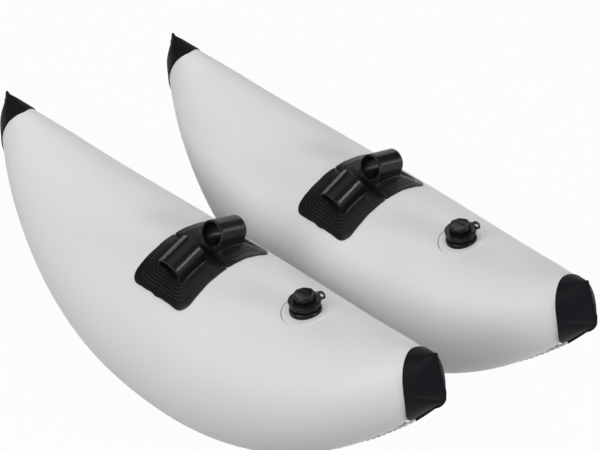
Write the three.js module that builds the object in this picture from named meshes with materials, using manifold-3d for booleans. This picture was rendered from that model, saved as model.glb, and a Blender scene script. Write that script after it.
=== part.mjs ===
// A pair of inflatable outrigger floats for a kayak.
// Each float is a banana-shaped air bladder of coated fabric, folded over the crown and welded along the keel
// and at both ends. Black patches sheathe the ends, two moulded mounts with tube sleeves straddle the crown, and
// a two-stage screw valve stands on the crown beside them.
// Millimetres. X runs along the floats, Y from the near float to the far one, Z up from the ground.
import * as THREE from "three";
import { mergeVertices } from "three/addons/utils/BufferGeometryUtils.js";
import Module from "manifold-3d";

const wasm = await Module();
wasm.setup();

// Angles
const degree = Math.PI / 180;
const fullTurn = 2 * Math.PI;
const halfTurn = fullTurn / 2;
const quarterTurn = fullTurn / 4;

// Clearances shared by all pieces, and how far a cut runs past what it cuts
const seatGap = 0.3;
const valveGap = 0.2;
const cutOverrun = 4;

// Fineness of the measuring along the surface, not of the facets
const pointTolerance = 1e-4;
const normalStep = 1e-4;
const edgeSearchSteps = 60;
const keelMeasureSteps = 200;

// Bladder, inflated from two flat sides joined over the crown
const floatLength = 638;
const flatDepthMiddle = 320;
const flatDepthEnd = 51;
const crownDipBroad = 22.8;
const crownDipFlat = 27.5;
const crownFlatPower = 4;
const depthPower = 2.27;
const flattenLength = 74.4;
const flattenPower = 0.392;
const endLean = 19.3 * degree;
const skinThickness = 0.9;
const sidesRound = 24;
const stationsAlong = 22;
const stationPower = 2.2;
const cavityStop = 7;

// Crimped weld strip along the keel
const keelDepth = 5;
const keelThickness = 1.6;
const keelWavePitch = 12;
const keelWaveSwing = 0.8;

// End patches
const patchCrownLength = 28;
const patchFlankExtra = 8;
const patchKeelExtra = 26;
const patchKeelPower = 5;
const patchThickness = 1.1;
const patchStations = 4;
const finReach = 6.5;
const finThickness = 2;
const finKeelDepth = 3.6;
const finCornerHeight = 20;
const finEarRadius = 2;
const finCornerSteps = 3;

// Moulded mounts for the arm tubes
const mountCentre = 4.2;
const mountSideways = -3;
const mountLength = 80.5;
const mountReach = 65;
const mountSplit = 1.2;
const mountOuterCorner = 12;
const mountCrownCorner = 3.5;
const mountLeastCorner = 1.8;
const mountPlate = 2;
const mountBorder = 10;
const ribPitch = 3.6;
const ribRise = 0.8;
const ribCount = 4;
const mountSideSteps = 5;
const mountCornerSteps = 2;
const sleeveBore = 25.4;
const sleeveWall = 2.3;
const sleeveLength = 37;
const sleeveArc = 26;
const sleeveAhead = 4.5;
const sleeveHeight = 15.2;
const sleeveTilt = 19.5 * degree;
const sleeveSides = 24;
const saddleDraft = 0.6;
const boreRunOut = 10;

// Screw valve: welded base, gasket, insert with its flap, tethered cap
const valvePlace = 158;
const valveSides = 24;
const flapSides = 16;
const hubSides = 12;
const stepsPerLobe = 4;
const holeReach = 24;
const weldFlangeRadius = 23.5;
const weldFlangeThickness = 1.2;
const baseRadius = 16.2;
const baseHeight = 4.4;
const baseChamfer = 1;
const neckRadius = 13.1;
const baseBore = 10.2;
const threadClearance = 0.3;
const gasketWidth = 3.2;
const gasketThickness = 1.2;
const insertRadius = 15.6;
const insertHeight = 4.8;
const insertLobes = 8;
const insertLobeDepth = 0.9;
const insertChamfer = 0.8;
const spigotLength = 9.5;
const spigotWall = 2.2;
const portRadius = 7.9;
const portWall = 1.9;
const portHeight = 6.1;
const seatThickness = 1.5;
const seatRim = 1.6;
const hubRadius = 2.6;
const spokeWidth = 1.8;
const spokeCount = 3;
const stemRadius = 1.1;
const flapRadius = 7.2;
const flapThickness = 1;
const flapTravel = 2.5;
const barbRadius = 1.9;
const barbHeight = 1.4;
const capRadius = 11.3;
const capHeight = 7;
const capLobes = 8;
const capLobeDepth = 0.6;
const capChamfer = 0.8;
const capRoof = 1.5;
const capSlotLength = 12;
const capSlotWidth = 3;
const capSlotDepth = 0.8;
const sealThickness = 0.8;
const sealWidth = 2.6;
const tetherRingRadius = 16.6;
const tetherThickness = 1.3;
const tetherWidth = 4.2;
const tetherLoopReach = 20.4;
const tetherLoopHeight = 8.2;
const tetherAzimuth = 46 * degree;
const tetherSteps = 10;
const tetherRiseShares = { knee: 0.16, side: 0.52 };

// How the two floats stand beside each other
const floatSpacing = 207;
const farAhead = 37.5;
const farYaw = -3.34 * degree;
const farLean = 5.1 * degree;
const leanCentreDepth = 100;

// Materials
function finish(color, roughness, metalness) {
  return new THREE.MeshStandardMaterial({ color, roughness, metalness });
}
const greyFabric = finish(0xd9d9d9, 0.45, 0);
const greyWeld = finish(0xb9b9b6, 0.5, 0);
const blackFabric = finish(0x1f1f23, 0.5, 0);
const blackMoulding = finish(0x232325, 0.38, 0);
const blackPlastic = finish(0x19191b, 0.3, 0);
const blackRubber = finish(0x141414, 0.75, 0);

// Solids: a closed geometry becomes a manifold solid, and a solid becomes a mesh geometry again.
function solidOf(geometry) {
  const bare = geometry.clone();
  bare.deleteAttribute("normal");
  bare.deleteAttribute("uv");
  const merged = mergeVertices(bare, pointTolerance);
  const index = merged.index.array;
  const kept = [];
  for (let i = 0; i < index.length; i += 3) {
    const [a, b, c] = [index[i], index[i + 1], index[i + 2]];
    if (a !== b && b !== c && a !== c) kept.push(a, b, c);
  }
  const mesh = new wasm.Mesh({
    numProp: 3,
    vertProperties: new Float32Array(merged.attributes.position.array),
    triVerts: new Uint32Array(kept),
  });
  return new wasm.Manifold(mesh);
}

function geometryOf(solid) {
  const mesh = solid.getMesh();
  const geometry = new THREE.BufferGeometry();
  geometry.setAttribute("position", new THREE.BufferAttribute(new Float32Array(mesh.vertProperties), 3));
  geometry.setIndex(new THREE.BufferAttribute(new Uint32Array(mesh.triVerts), 1));
  geometry.computeVertexNormals();
  return geometry;
}

function joined(...solids) {
  return solids.reduce((whole, piece) => whole.add(piece));
}

// A closed solid through rings of equal point count. Strips between mirrored points close the two end rings.
function loft(rings) {
  const count = rings[0].length;
  const points = rings.flat();
  const index = [];
  const at = (ring, j) => ring * count + ((j + count) % count);
  for (let i = 0; i + 1 < rings.length; i++) {
    for (let j = 0; j < count; j++) {
      index.push(at(i, j), at(i + 1, j), at(i + 1, j + 1));
      index.push(at(i, j), at(i + 1, j + 1), at(i, j + 1));
    }
  }
  const last = rings.length - 1;
  for (let j = 0; j < count / 2; j++) {
    index.push(at(0, j), at(0, j + 1), at(0, -j - 1));
    index.push(at(0, j), at(0, -j - 1), at(0, -j));
    index.push(at(last, j), at(last, -j - 1), at(last, j + 1));
    index.push(at(last, j), at(last, -j), at(last, -j - 1));
  }
  const geometry = new THREE.BufferGeometry().setFromPoints(points);
  geometry.setIndex(index);
  const solid = solidOf(geometry);
  if (solid.volume() > 0) return solid;
  for (let k = 0; k < index.length; k += 3) {
    [index[k + 1], index[k + 2]] = [index[k + 2], index[k + 1]];
  }
  geometry.setIndex(index);
  return solidOf(geometry);
}

// The float's surface. u runs from -1 to 1 along the float, t is the angle round the section from the crown.
function flatDepth(u) {
  return flatDepthEnd + (flatDepthMiddle - flatDepthEnd) * (1 - Math.abs(u) ** depthPower);
}

// The sections lean outward toward the ends.
function leanAt(u) {
  return endLean * Math.sign(u) * u * u;
}

function onFloat(u, t) {
  const fromEnd = ((1 - Math.abs(u)) * floatLength) / 2;
  const opened = Math.min(fromEnd / flattenLength, 1);
  const roundness = (1 - (1 - opened) ** 2) ** flattenPower;
  const perimeterTerm = 3 * (1 + roundness) - Math.sqrt((3 + roundness) * (1 + 3 * roundness));
  const halfHeight = (2 * flatDepth(u)) / (Math.PI * perimeterTerm);
  const halfWidth = roundness * halfHeight;
  const crown = -crownDipBroad * (1 - u * u) - crownDipFlat * (1 - Math.abs(u) ** crownFlatPower);
  const lean = leanAt(u);
  const rise = halfHeight * Math.cos(t);
  return new THREE.Vector3(
    (u * floatLength) / 2 - rise * Math.sin(lean),
    halfWidth * Math.sin(t),
    crown - halfHeight + rise * Math.cos(lean),
  );
}

// The way from crown to keel in the section at u.
function sectionDown(u) {
  return onFloat(u, halfTurn).sub(onFloat(u, 0)).normalize();
}

// The outward normal, from four neighbouring points pulled in from the end seam.
function normalAt(u, t) {
  const limit = 1 - 2 * normalStep;
  const inside = Math.max(-limit, Math.min(limit, u));
  const along = onFloat(inside + normalStep, t).sub(onFloat(inside - normalStep, t));
  const round = onFloat(inside, t + normalStep).sub(onFloat(inside, t - normalStep));
  return round.cross(along).negate().normalize();
}

function offFloat(u, t, height) {
  return onFloat(u, t).addScaledVector(normalAt(u, t), height);
}

// A point given by its place along the float and its arc length round the section from the crown.
function onArc(x, arc, height) {
  const u = (2 * x) / floatLength;
  return offFloat(u, (arc * Math.PI) / flatDepth(u), height);
}

// At an end seam both sides meet, so the offset there runs out in the section's plane and along the float.
function offSeam(u, t, height) {
  const lean = leanAt(u);
  const up = new THREE.Vector3(-Math.sin(lean), 0, Math.cos(lean));
  const out = new THREE.Vector3(Math.sign(u), Math.sin(t), 0).addScaledVector(up, Math.cos(t));
  return onFloat(u, t).addScaledVector(out, height);
}

function ringOf(pointAt) {
  return Array.from({ length: sidesRound }, (_, j) => pointAt((fullTurn * j) / sidesRound));
}

// The bladder's outside, or a parallel surface inside it, as a full solid.
function bladderSolid(height) {
  const reach = height < 0 ? 1 - (2 * cavityStop) / floatLength : 1;
  const rings = [];
  for (let i = 0; i <= stationsAlong; i++) {
    const share = (2 * i) / stationsAlong - 1;
    const u = reach * Math.sign(share) * (1 - (1 - Math.abs(share)) ** stationPower);
    rings.push(ringOf((t) => (Math.abs(u) < 1 ? offFloat(u, t, height) : offSeam(u, t, height))));
  }
  return loft(rings);
}

const bladderOutside = bladderSolid(0);
const bladderSeat = bladderSolid(seatGap);

// The valve's own frame: its origin on the crown, its axis square to the skin
const valveFrame = new THREE.Object3D();
valveFrame.position.copy(onArc(valvePlace, 0, 0));
valveFrame.quaternion.setFromUnitVectors(
  new THREE.Vector3(0, 0, 1),
  normalAt((2 * valvePlace) / floatLength, 0),
);
valveFrame.updateMatrix();
const valveInverse = valveFrame.matrix.clone().invert();

function moved(solid, matrix) {
  return solidOf(geometryOf(solid).applyMatrix4(matrix));
}

// A turned piece about the valve's axis, from a closed profile of [radius, height] pairs.
function turned(profile, sides = valveSides) {
  const points = [...profile, profile[0]].map(([r, z]) => new THREE.Vector2(r, z));
  const geometry = new THREE.LatheGeometry(points, sides);
  geometry.rotateX(quarterTurn);
  const solid = solidOf(geometry);
  if (solid.volume() > 0) return solid;
  return turned([...profile].reverse(), sides);
}

function rod(radius, low, high, sides = valveSides) {
  return turned([[0, low], [radius, low], [radius, high], [0, high]], sides);
}

function tube(inner, outer, low, high, sides = valveSides) {
  return turned([[inner, low], [outer, low], [outer, high], [inner, high]], sides);
}

function block(width, depth, low, high) {
  const geometry = new THREE.BoxGeometry(width, depth, high - low);
  geometry.translate(0, 0, (low + high) / 2);
  return solidOf(geometry);
}

// A hand grip: an outline that waves in and out round the axis, with a chamfered top edge.
function grip(radius, lobes, lobeDepth, low, high, chamfer) {
  const steps = lobes * stepsPerLobe;
  const ring = (shrink, z) =>
    Array.from({ length: steps }, (_, j) => {
      const angle = (fullTurn * j) / steps;
      const r = radius - shrink - (lobeDepth * (1 - Math.cos(lobes * angle))) / 2;
      return new THREE.Vector3(r * Math.cos(angle), r * Math.sin(angle), z);
    });
  return loft([ring(0, low), ring(0, high - chamfer), ring(chamfer, high)]);
}

// Bladder
const valveHole = moved(rod(neckRadius + seatGap, -holeReach, holeReach), valveFrame.matrix);

function makeBladder() {
  return bladderOutside.subtract(bladderSolid(-skinThickness)).subtract(valveHole);
}

// Where the end patch stops: its length is measured along the skin from the end seam. It is longer on the
// flanks than over the crown, and runs out into a tongue along the keel.
function patchEdge(t) {
  const towardKeel = ((1 - Math.cos(t)) / 2) ** patchKeelPower;
  const wanted = patchCrownLength + patchFlankExtra * Math.sin(t) ** 2 + patchKeelExtra * towardKeel;
  const stride = (2 * wanted) / floatLength / edgeSearchSteps;
  let u = 1;
  let length = 0;
  let last = onFloat(u, t);
  while (length < wanted && u > 0) {
    u -= stride;
    const next = onFloat(u, t);
    length += next.distanceTo(last);
    last = next;
  }
  return u;
}

// Keel strip: the root follows the keel, the free edge waves from side to side.
function makeKeel() {
  const reach = patchEdge(halfTurn) - (2 * seatGap) / floatLength;
  const stopAt = (i) => reach * ((2 * i) / keelMeasureSteps - 1);
  let length = 0;
  const stops = [[-reach, 0]];
  for (let i = 1; i <= keelMeasureSteps; i++) {
    length += onFloat(stopAt(i), halfTurn).distanceTo(onFloat(stopAt(i - 1), halfTurn));
    stops.push([stopAt(i), length]);
  }
  const halfWaves = 2 * Math.round(length / keelWavePitch);
  const rings = [];
  let k = 1;
  for (let i = 0; i <= halfWaves; i++) {
    const wanted = (length * i) / halfWaves;
    while (k < keelMeasureSteps && stops[k][1] < wanted) k++;
    const [u0, l0] = stops[k - 1];
    const [u1, l1] = stops[k];
    const u = u0 + ((u1 - u0) * (wanted - l0)) / (l1 - l0);
    const swing = keelWaveSwing * (i % 2 ? 1 : -1);
    const side = new THREE.Vector3(0, keelThickness / 2, 0);
    const root = onFloat(u, halfTurn).addScaledVector(sectionDown(u), seatGap);
    const tip = onFloat(u, halfTurn).addScaledVector(sectionDown(u), keelDepth);
    tip.y += swing;
    rings.push([root.clone().add(side), tip.clone().add(side), tip.clone().sub(side), root.clone().sub(side)]);
  }
  return loft(rings);
}

// End patch: a sheath over the wedge of the bladder's end, with a flat fin beyond the seam and along the keel.
function makePatch() {
  const rings = [];
  const skinOff = seatGap + patchThickness;
  for (let i = 0; i < patchStations; i++) {
    const fromSeam = (1 - i / patchStations) ** stationPower;
    rings.push(ringOf((t) => offFloat(1 - (1 - patchEdge(t)) * fromSeam, t, skinOff)));
  }
  rings.push(ringOf((t) => offSeam(1, t, skinOff)));
  const sheath = loft(rings);

  const top = onFloat(1, 0);
  const down = sectionDown(1);
  const out = new THREE.Vector3(-down.z, 0, down.x);
  const flat = (p) => new THREE.Vector2(p.x, p.z);
  const outline = [];
  const ear = top.clone().addScaledVector(out, finReach).addScaledVector(down, -skinOff);
  outline.push(flat(top.clone().addScaledVector(down, -skinOff)));
  outline.push(flat(ear.clone().addScaledVector(out, -finEarRadius)));
  outline.push(flat(ear.clone().addScaledVector(down, finEarRadius)));
  const keelFin = skinOff + finKeelDepth;
  const keelAt = (u, depth) => flat(onFloat(u, halfTurn).addScaledVector(sectionDown(u), depth));
  const keelEdge = patchEdge(halfTurn);
  const corner = keelAt(1, keelFin).addScaledVector(flat(out), finReach);
  const towardEar = flat(down).negate();
  const towardKeel = flat(out).negate();
  const cornerReach = finReach - seatGap;
  for (let i = 0; i <= finCornerSteps; i++) {
    const angle = (quarterTurn * i) / finCornerSteps;
    const point = corner
      .clone()
      .addScaledVector(towardEar, finCornerHeight * (1 - Math.sin(angle)))
      .addScaledVector(towardKeel, cornerReach * (1 - Math.cos(angle)));
    outline.push(point);
  }
  for (let i = 1; i <= patchStations; i++) {
    outline.push(keelAt(1 - ((1 - keelEdge) * i) / patchStations, keelFin));
  }
  for (let i = patchStations; i >= 0; i--) {
    outline.push(keelAt(1 - ((1 - keelEdge) * i) / patchStations, 0));
  }
  const shape = new THREE.Shape(outline);
  const plate = new THREE.ExtrudeGeometry(shape, { depth: finThickness, bevelEnabled: false });
  plate.translate(0, 0, -finThickness / 2);
  plate.rotateX(quarterTurn);
  return joined(sheath, solidOf(plate)).subtract(bladderSeat);
}

// Mount plate: stepped rounded rectangles wrapped on the crown. side is -1 or 1.
function plateRing(inset, height, side) {
  const low = -mountLength / 2 + inset;
  const high = mountLength / 2 - inset;
  const crownEdge = mountSplit / 2 + inset;
  const outerEdge = mountReach - inset;
  const crownCorner = Math.max(mountCrownCorner - inset, mountLeastCorner);
  const outerCorner = Math.max(mountOuterCorner - inset, mountLeastCorner);
  const points = [];
  const corner = (x, arc, radius, start) => {
    for (let i = 0; i <= mountCornerSteps; i++) {
      const angle = start + (quarterTurn * i) / mountCornerSteps;
      points.push([x + radius * Math.cos(angle), arc + radius * Math.sin(angle)]);
    }
  };
  const rail = (x, from, to) => {
    for (let i = 1; i < mountSideSteps; i++) points.push([x, from + ((to - from) * i) / mountSideSteps]);
  };
  points.push([0, outerEdge]);
  corner(low + outerCorner, outerEdge - outerCorner, outerCorner, quarterTurn);
  rail(low, outerEdge - outerCorner, crownEdge + crownCorner);
  corner(low + crownCorner, crownEdge + crownCorner, crownCorner, 2 * quarterTurn);
  points.push([0, crownEdge]);
  corner(high - crownCorner, crownEdge + crownCorner, crownCorner, 3 * quarterTurn);
  rail(high, crownEdge + crownCorner, outerEdge - outerCorner);
  corner(high - outerCorner, outerEdge - outerCorner, outerCorner, 0);
  return points.map(([x, arc]) => onArc(mountCentre + x, mountSideways + side * arc, height));
}

// The line of a sleeve: its middle, and its direction away from the crown.
function sleeveLine(side) {
  const middle = onArc(mountCentre + sleeveAhead, mountSideways + side * sleeveArc, sleeveHeight);
  const away = new THREE.Vector3(0, side * Math.cos(sleeveTilt), -Math.sin(sleeveTilt));
  return { middle, away };
}

function alongSleeve(solid, side) {
  const { middle, away } = sleeveLine(side);
  const frame = new THREE.Matrix4().makeBasis(
    new THREE.Vector3(1, 0, 0),
    new THREE.Vector3().crossVectors(away, new THREE.Vector3(1, 0, 0)),
    away,
  );
  frame.setPosition(middle);
  return moved(solid, frame);
}

function makeMount(side) {
  const rings = [plateRing(0, -cutOverrun / 2, side), plateRing(0, mountPlate, side)];
  for (let i = 0; i < ribCount; i++) {
    const inset = mountBorder + i * ribPitch;
    rings.push(plateRing(inset, mountPlate + i * ribRise, side));
    rings.push(plateRing(inset, mountPlate + (i + 1) * ribRise, side));
  }
  const plate = loft(rings);
  const sleeveRadius = sleeveBore / 2 + sleeveWall;
  const barrel = alongSleeve(rod(sleeveRadius, -sleeveLength / 2, sleeveLength / 2, sleeveSides), side);
  const saddleHeight = sleeveHeight - mountPlate / 2;
  const foot = new THREE.BoxGeometry(2 * (sleeveRadius - saddleDraft), saddleHeight, sleeveLength);
  foot.translate(0, (side * saddleHeight) / 2, 0);
  const saddle = alongSleeve(solidOf(foot), side);
  const boreLength = sleeveLength + 2 * boreRunOut;
  const bore = alongSleeve(rod(sleeveBore / 2, -boreLength / 2, boreLength / 2, sleeveSides), side);
  return joined(plate, barrel, saddle).subtract(bore).subtract(bladderSeat);
}

// Valve stack, from the skin upwards along the valve's axis
const gasketLow = baseHeight + valveGap;
const insertLow = gasketLow + gasketThickness + valveGap;
const insertTop = insertLow + insertHeight;
const spigotRadius = baseBore - threadClearance;
const spigotLow = insertLow - spigotLength;
const channelRadius = spigotRadius - spigotWall;
const portTop = insertTop + portHeight;
const portBore = portRadius - portWall;
const tetherLow = insertTop + valveGap;
const capLow = tetherLow + tetherThickness + valveGap;
const capTop = capLow + capHeight;
const sealLow = portTop + valveGap;
const capBore = portRadius + threadClearance;

function makeValveBase() {
  const outside = moved(bladderSeat, valveInverse);
  const under = moved(bladderSolid(-skinThickness - seatGap), valveInverse);
  const deeper = moved(bladderSolid(-skinThickness - seatGap - weldFlangeThickness), valveInverse);
  const collar = turned([
    [0, -cutOverrun],
    [baseRadius, -cutOverrun],
    [baseRadius, baseHeight - baseChamfer],
    [baseRadius - baseChamfer, baseHeight],
    [0, baseHeight],
  ]).subtract(outside);
  const flange = rod(weldFlangeRadius, -holeReach, baseHeight).intersect(under).subtract(deeper);
  const neck = rod(neckRadius, -holeReach, baseHeight - baseChamfer).subtract(deeper);
  const bore = rod(baseBore, -holeReach, holeReach);
  return joined(collar, flange, neck).subtract(bore);
}

function makeGasket() {
  return tube(spigotRadius + valveGap, spigotRadius + valveGap + gasketWidth, gasketLow, gasketLow + gasketThickness);
}

function makeInsert() {
  const wheel = grip(insertRadius, insertLobes, insertLobeDepth, insertLow, insertTop, insertChamfer);
  const spigot = rod(spigotRadius, spigotLow, insertTop - insertChamfer);
  const port = rod(portRadius, insertLow, portTop);
  const channel = rod(channelRadius, spigotLow + seatThickness, insertTop - seatThickness);
  const mouth = rod(portBore, spigotLow + seatThickness, portTop + cutOverrun);
  const seat = rod(flapRadius - seatRim, spigotLow - cutOverrun, spigotLow + seatThickness + valveGap);
  let insert = joined(wheel, spigot, port).subtract(channel).subtract(mouth).subtract(seat);
  let spider = rod(hubRadius, spigotLow, spigotLow + seatThickness, hubSides);
  for (let i = 0; i < spokeCount; i++) {
    const spoke = block(flapRadius, spokeWidth, spigotLow, spigotLow + seatThickness);
    const place = new THREE.Matrix4().makeRotationZ((fullTurn * i) / spokeCount);
    place.multiply(new THREE.Matrix4().makeTranslation(flapRadius / 2, 0, 0));
    spider = spider.add(moved(spoke, place));
  }
  insert = insert.add(spider);
  return insert.subtract(rod(stemRadius + valveGap, spigotLow - cutOverrun, portTop, hubSides));
}

// Mushroom flap: a disc under the seat, on a stem that is held by a barb above the hub.
function makeFlap() {
  const discTop = spigotLow - valveGap;
  const barbLow = spigotLow + seatThickness + flapTravel + valveGap;
  return turned([
    [0, discTop - flapThickness],
    [flapRadius, discTop - flapThickness],
    [flapRadius, discTop],
    [stemRadius, discTop],
    [stemRadius, barbLow],
    [barbRadius, barbLow],
    [stemRadius, barbLow + barbHeight],
    [0, barbLow + barbHeight],
  ], flapSides);
}

function makeCap() {
  const body = grip(capRadius, capLobes, capLobeDepth, capLow, capTop, capChamfer);
  const hollow = rod(capBore, capLow - cutOverrun, capTop - capRoof);
  const slot = block(capSlotLength, capSlotWidth, capTop - capSlotDepth, capTop + cutOverrun);
  return body.subtract(hollow).subtract(slot);
}

function makeSeal() {
  return tube(portRadius - sealWidth, portRadius, sealLow, sealLow + sealThickness, flapSides);
}

// Tether: a flat ring round the port, and a strap that loops up to the rim of the cap.
function makeTether() {
  const ring = tube(portRadius + valveGap, tetherRingRadius, tetherLow, tetherLow + tetherThickness);
  const capEdge = capRadius + valveGap;
  const half = tetherThickness / 2;
  const startHeight = tetherLow + half;
  const loopTop = startHeight + tetherLoopHeight;
  const outer = tetherLoopReach - half;
  const route = new THREE.CatmullRomCurve3([
    new THREE.Vector3(tetherRingRadius - tetherWidth / 2, 0, startHeight),
    new THREE.Vector3(outer - half, 0, startHeight + tetherLoopHeight * tetherRiseShares.knee),
    new THREE.Vector3(outer, 0, startHeight + tetherLoopHeight * tetherRiseShares.side),
    new THREE.Vector3((outer + capEdge) / 2 + half, 0, loopTop - half),
    new THREE.Vector3(capEdge + half, 0, capTop - capChamfer - half),
  ]);
  const left = [];
  const right = [];
  for (let i = 0; i <= tetherSteps; i++) {
    const p = route.getPoint(i / tetherSteps);
    const d = route.getTangent(i / tetherSteps);
    left.push(new THREE.Vector2(p.x - half * d.z, p.z + half * d.x));
    right.push(new THREE.Vector2(p.x + half * d.z, p.z - half * d.x));
  }
  const strap = new THREE.ExtrudeGeometry(new THREE.Shape([...left, ...right.reverse()]), {
    depth: tetherWidth,
    bevelEnabled: false,
  });
  strap.translate(0, 0, -tetherWidth / 2);
  strap.rotateX(quarterTurn);
  const clear = rod(capEdge, capLow - valveGap, capTop + tetherLoopHeight);
  const whole = joined(ring, solidOf(strap).subtract(clear));
  return moved(whole, new THREE.Matrix4().makeRotationZ(tetherAzimuth));
}

// All shapes are made once and shared by the two floats.
const shapes = {
  bladder: geometryOf(makeBladder()),
  keel_seam: geometryOf(makeKeel()),
  end_patch: geometryOf(makePatch()),
  left_mount: geometryOf(makeMount(-1)),
  right_mount: geometryOf(makeMount(1)),
};
const valveShapes = {
  valve_base: [geometryOf(makeValveBase()), blackPlastic],
  valve_gasket: [geometryOf(makeGasket()), blackRubber],
  valve_insert: [geometryOf(makeInsert()), blackPlastic],
  valve_flap: [geometryOf(makeFlap()), blackRubber],
  cap_tether: [geometryOf(makeTether()), blackPlastic],
  cap_seal: [geometryOf(makeSeal()), blackRubber],
  valve_cap: [geometryOf(makeCap()), blackPlastic],
};

function named(name, geometry, material) {
  const mesh = new THREE.Mesh(geometry, material.clone());
  mesh.name = name;
  return mesh;
}

function makeFloat(prefix) {
  const float = new THREE.Group();
  float.add(named(prefix + "_bladder", shapes.bladder, greyFabric));
  float.add(named(prefix + "_keel_seam", shapes.keel_seam, greyWeld));
  float.add(named(prefix + "_front_end_patch", shapes.end_patch, blackFabric));
  const rear = named(prefix + "_rear_end_patch", shapes.end_patch, blackFabric);
  rear.rotation.z = halfTurn;
  float.add(rear);
  float.add(named(prefix + "_left_mount", shapes.left_mount, blackMoulding));
  float.add(named(prefix + "_right_mount", shapes.right_mount, blackMoulding));
  const valve = new THREE.Group();
  valve.position.copy(valveFrame.position);
  valve.quaternion.copy(valveFrame.quaternion);
  for (const [name, [geometry, material]] of Object.entries(valveShapes)) {
    valve.add(named(prefix + "_" + name, geometry, material));
  }
  float.add(valve);
  return float;
}

// A float leans about a line through its middle, then turns, then stands on the ground at its place.
function stand(float, lean, yaw, x, y) {
  for (const piece of float.children) piece.position.z += leanCentreDepth;
  const leaning = new THREE.Group();
  leaning.add(float);
  float.rotation.x = lean;
  leaning.rotation.z = yaw;
  leaning.position.set(x, y, 0);
  leaning.position.z = -new THREE.Box3().setFromObject(leaning, true).min.z;
  return leaning;
}

const pair = new THREE.Group();
pair.add(stand(makeFloat("near"), 0, 0, 0, -floatSpacing / 2));
pair.add(stand(makeFloat("far"), farLean, farYaw, farAhead, floatSpacing / 2));
const whole = new THREE.Box3().setFromObject(pair, true);
const centre = whole.getCenter(new THREE.Vector3());
pair.position.set(-centre.x, -centre.y, -whole.min.z);
pair.updateMatrixWorld(true);

export default pair;
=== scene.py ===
# %% [markdown]
# # A pair of inflatable outrigger floats
# Two banana-shaped air floats lie side by side. Each is a bag of grey coated fabric with black patches at its
# ends, two moulded mounts that hold a tube, and a screw valve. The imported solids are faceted, so this lesson
# gives every piece its fine form and its finish. It starts by loading the solids as a fixed frame.

# %% Load the frame
import math

import bmesh
import bpy
import numpy as np
from mathutils import Matrix, Vector
from mathutils.bvhtree import BVHTree


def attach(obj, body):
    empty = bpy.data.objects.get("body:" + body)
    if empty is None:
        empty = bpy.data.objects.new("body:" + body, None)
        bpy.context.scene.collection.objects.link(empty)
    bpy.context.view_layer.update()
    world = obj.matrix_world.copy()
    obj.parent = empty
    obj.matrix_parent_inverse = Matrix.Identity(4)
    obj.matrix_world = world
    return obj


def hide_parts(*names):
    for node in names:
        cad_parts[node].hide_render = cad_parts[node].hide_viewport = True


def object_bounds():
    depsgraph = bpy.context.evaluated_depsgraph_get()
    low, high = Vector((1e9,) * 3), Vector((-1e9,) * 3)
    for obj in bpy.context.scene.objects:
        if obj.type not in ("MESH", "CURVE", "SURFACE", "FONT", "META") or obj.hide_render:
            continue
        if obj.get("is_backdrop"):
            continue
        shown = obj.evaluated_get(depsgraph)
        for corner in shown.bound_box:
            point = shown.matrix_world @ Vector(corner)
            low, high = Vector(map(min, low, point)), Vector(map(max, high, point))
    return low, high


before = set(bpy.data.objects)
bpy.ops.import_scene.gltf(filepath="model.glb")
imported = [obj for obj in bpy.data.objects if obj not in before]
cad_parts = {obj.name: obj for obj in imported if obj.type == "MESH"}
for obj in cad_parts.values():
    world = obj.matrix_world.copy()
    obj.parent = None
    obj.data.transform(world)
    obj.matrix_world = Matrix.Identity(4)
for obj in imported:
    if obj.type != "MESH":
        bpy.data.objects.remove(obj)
cad_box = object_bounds()
scene = bpy.context.scene
scene.view_settings.view_transform = "Standard"
MM = 0.001
FLOATS = ("near", "far")

# %% [markdown]
# ## Camera
# The camera stands above the valve ends and looks down along the floats through a long lens. Its place and
# its direction were found by fitting the floats' outlines, so they are plain numbers here.

# %% Set up the camera
CAMERA_PLACE = (0.93816, -0.94480, 1.20715)
LOOK_YAW = 2.340712
LOOK_DOWN = 0.652027
LENS_MM = 93.995


def put(name, data):
    """An object with this data, in the scene."""
    obj = bpy.data.objects.new(name, data)
    scene.collection.objects.link(obj)
    return obj


camera = put("camera", bpy.data.cameras.new("camera"))
camera.data.lens = LENS_MM
camera.location = CAMERA_PLACE
look = Vector((
    math.cos(LOOK_DOWN) * math.cos(LOOK_YAW),
    math.cos(LOOK_DOWN) * math.sin(LOOK_YAW),
    -math.sin(LOOK_DOWN),
))
camera.rotation_euler = look.to_track_quat("-Z", "Y").to_euler()
scene.camera = camera
print("camera lens", LENS_MM, "mm, looking", round(math.degrees(LOOK_DOWN), 1), "degrees down")

# %% [markdown]
# ## Helpers for node trees
# Materials and Geometry Nodes are both built from nodes, so one function adds a node with its settings and
# its links. A number in a tree is wrapped as a Term: arithmetic on it adds Math nodes, so a rule in a tree
# reads like a formula, and one formula can serve plain numbers and trees. Colours are hex values, as a paint
# chart gives them, turned to linear light.

# %% Node, formula and colour helpers
def plug(tree, socket, value):
    """Feed a socket with a value, another socket, a term, or a node whose first output is meant."""
    if isinstance(value, Term):
        value = value.socket
    if isinstance(value, bpy.types.Node):
        value = value.outputs[0]
    if isinstance(value, bpy.types.NodeSocket):
        tree.links.new(value, socket)
    else:
        socket.default_value = value


def add(tree, kind, inputs=None, **settings):
    """Add a node with its settings, and feed its inputs."""
    node = tree.nodes.new(kind)
    for key, value in settings.items():
        setattr(node, key, value)
    for key, value in (inputs or {}).items():
        plug(tree, node.inputs[key], value)
    return node


PLAIN = {"SINE": np.sin, "COSINE": np.cos, "SQRT": np.sqrt, "SIGN": np.sign}
PLAIN.update({"MINIMUM": np.minimum, "MAXIMUM": np.maximum})


def combine(operation, *values, **settings):
    """A Math node over terms, as a new term. Plain numbers alone are worked out at once."""
    trees = [value.tree for value in values if isinstance(value, Term)]
    if not trees:
        return PLAIN[operation](*values)
    node = add(trees[0], "ShaderNodeMath", dict(enumerate(values)), operation=operation, **settings)
    return Term(trees[0], node)


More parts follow.
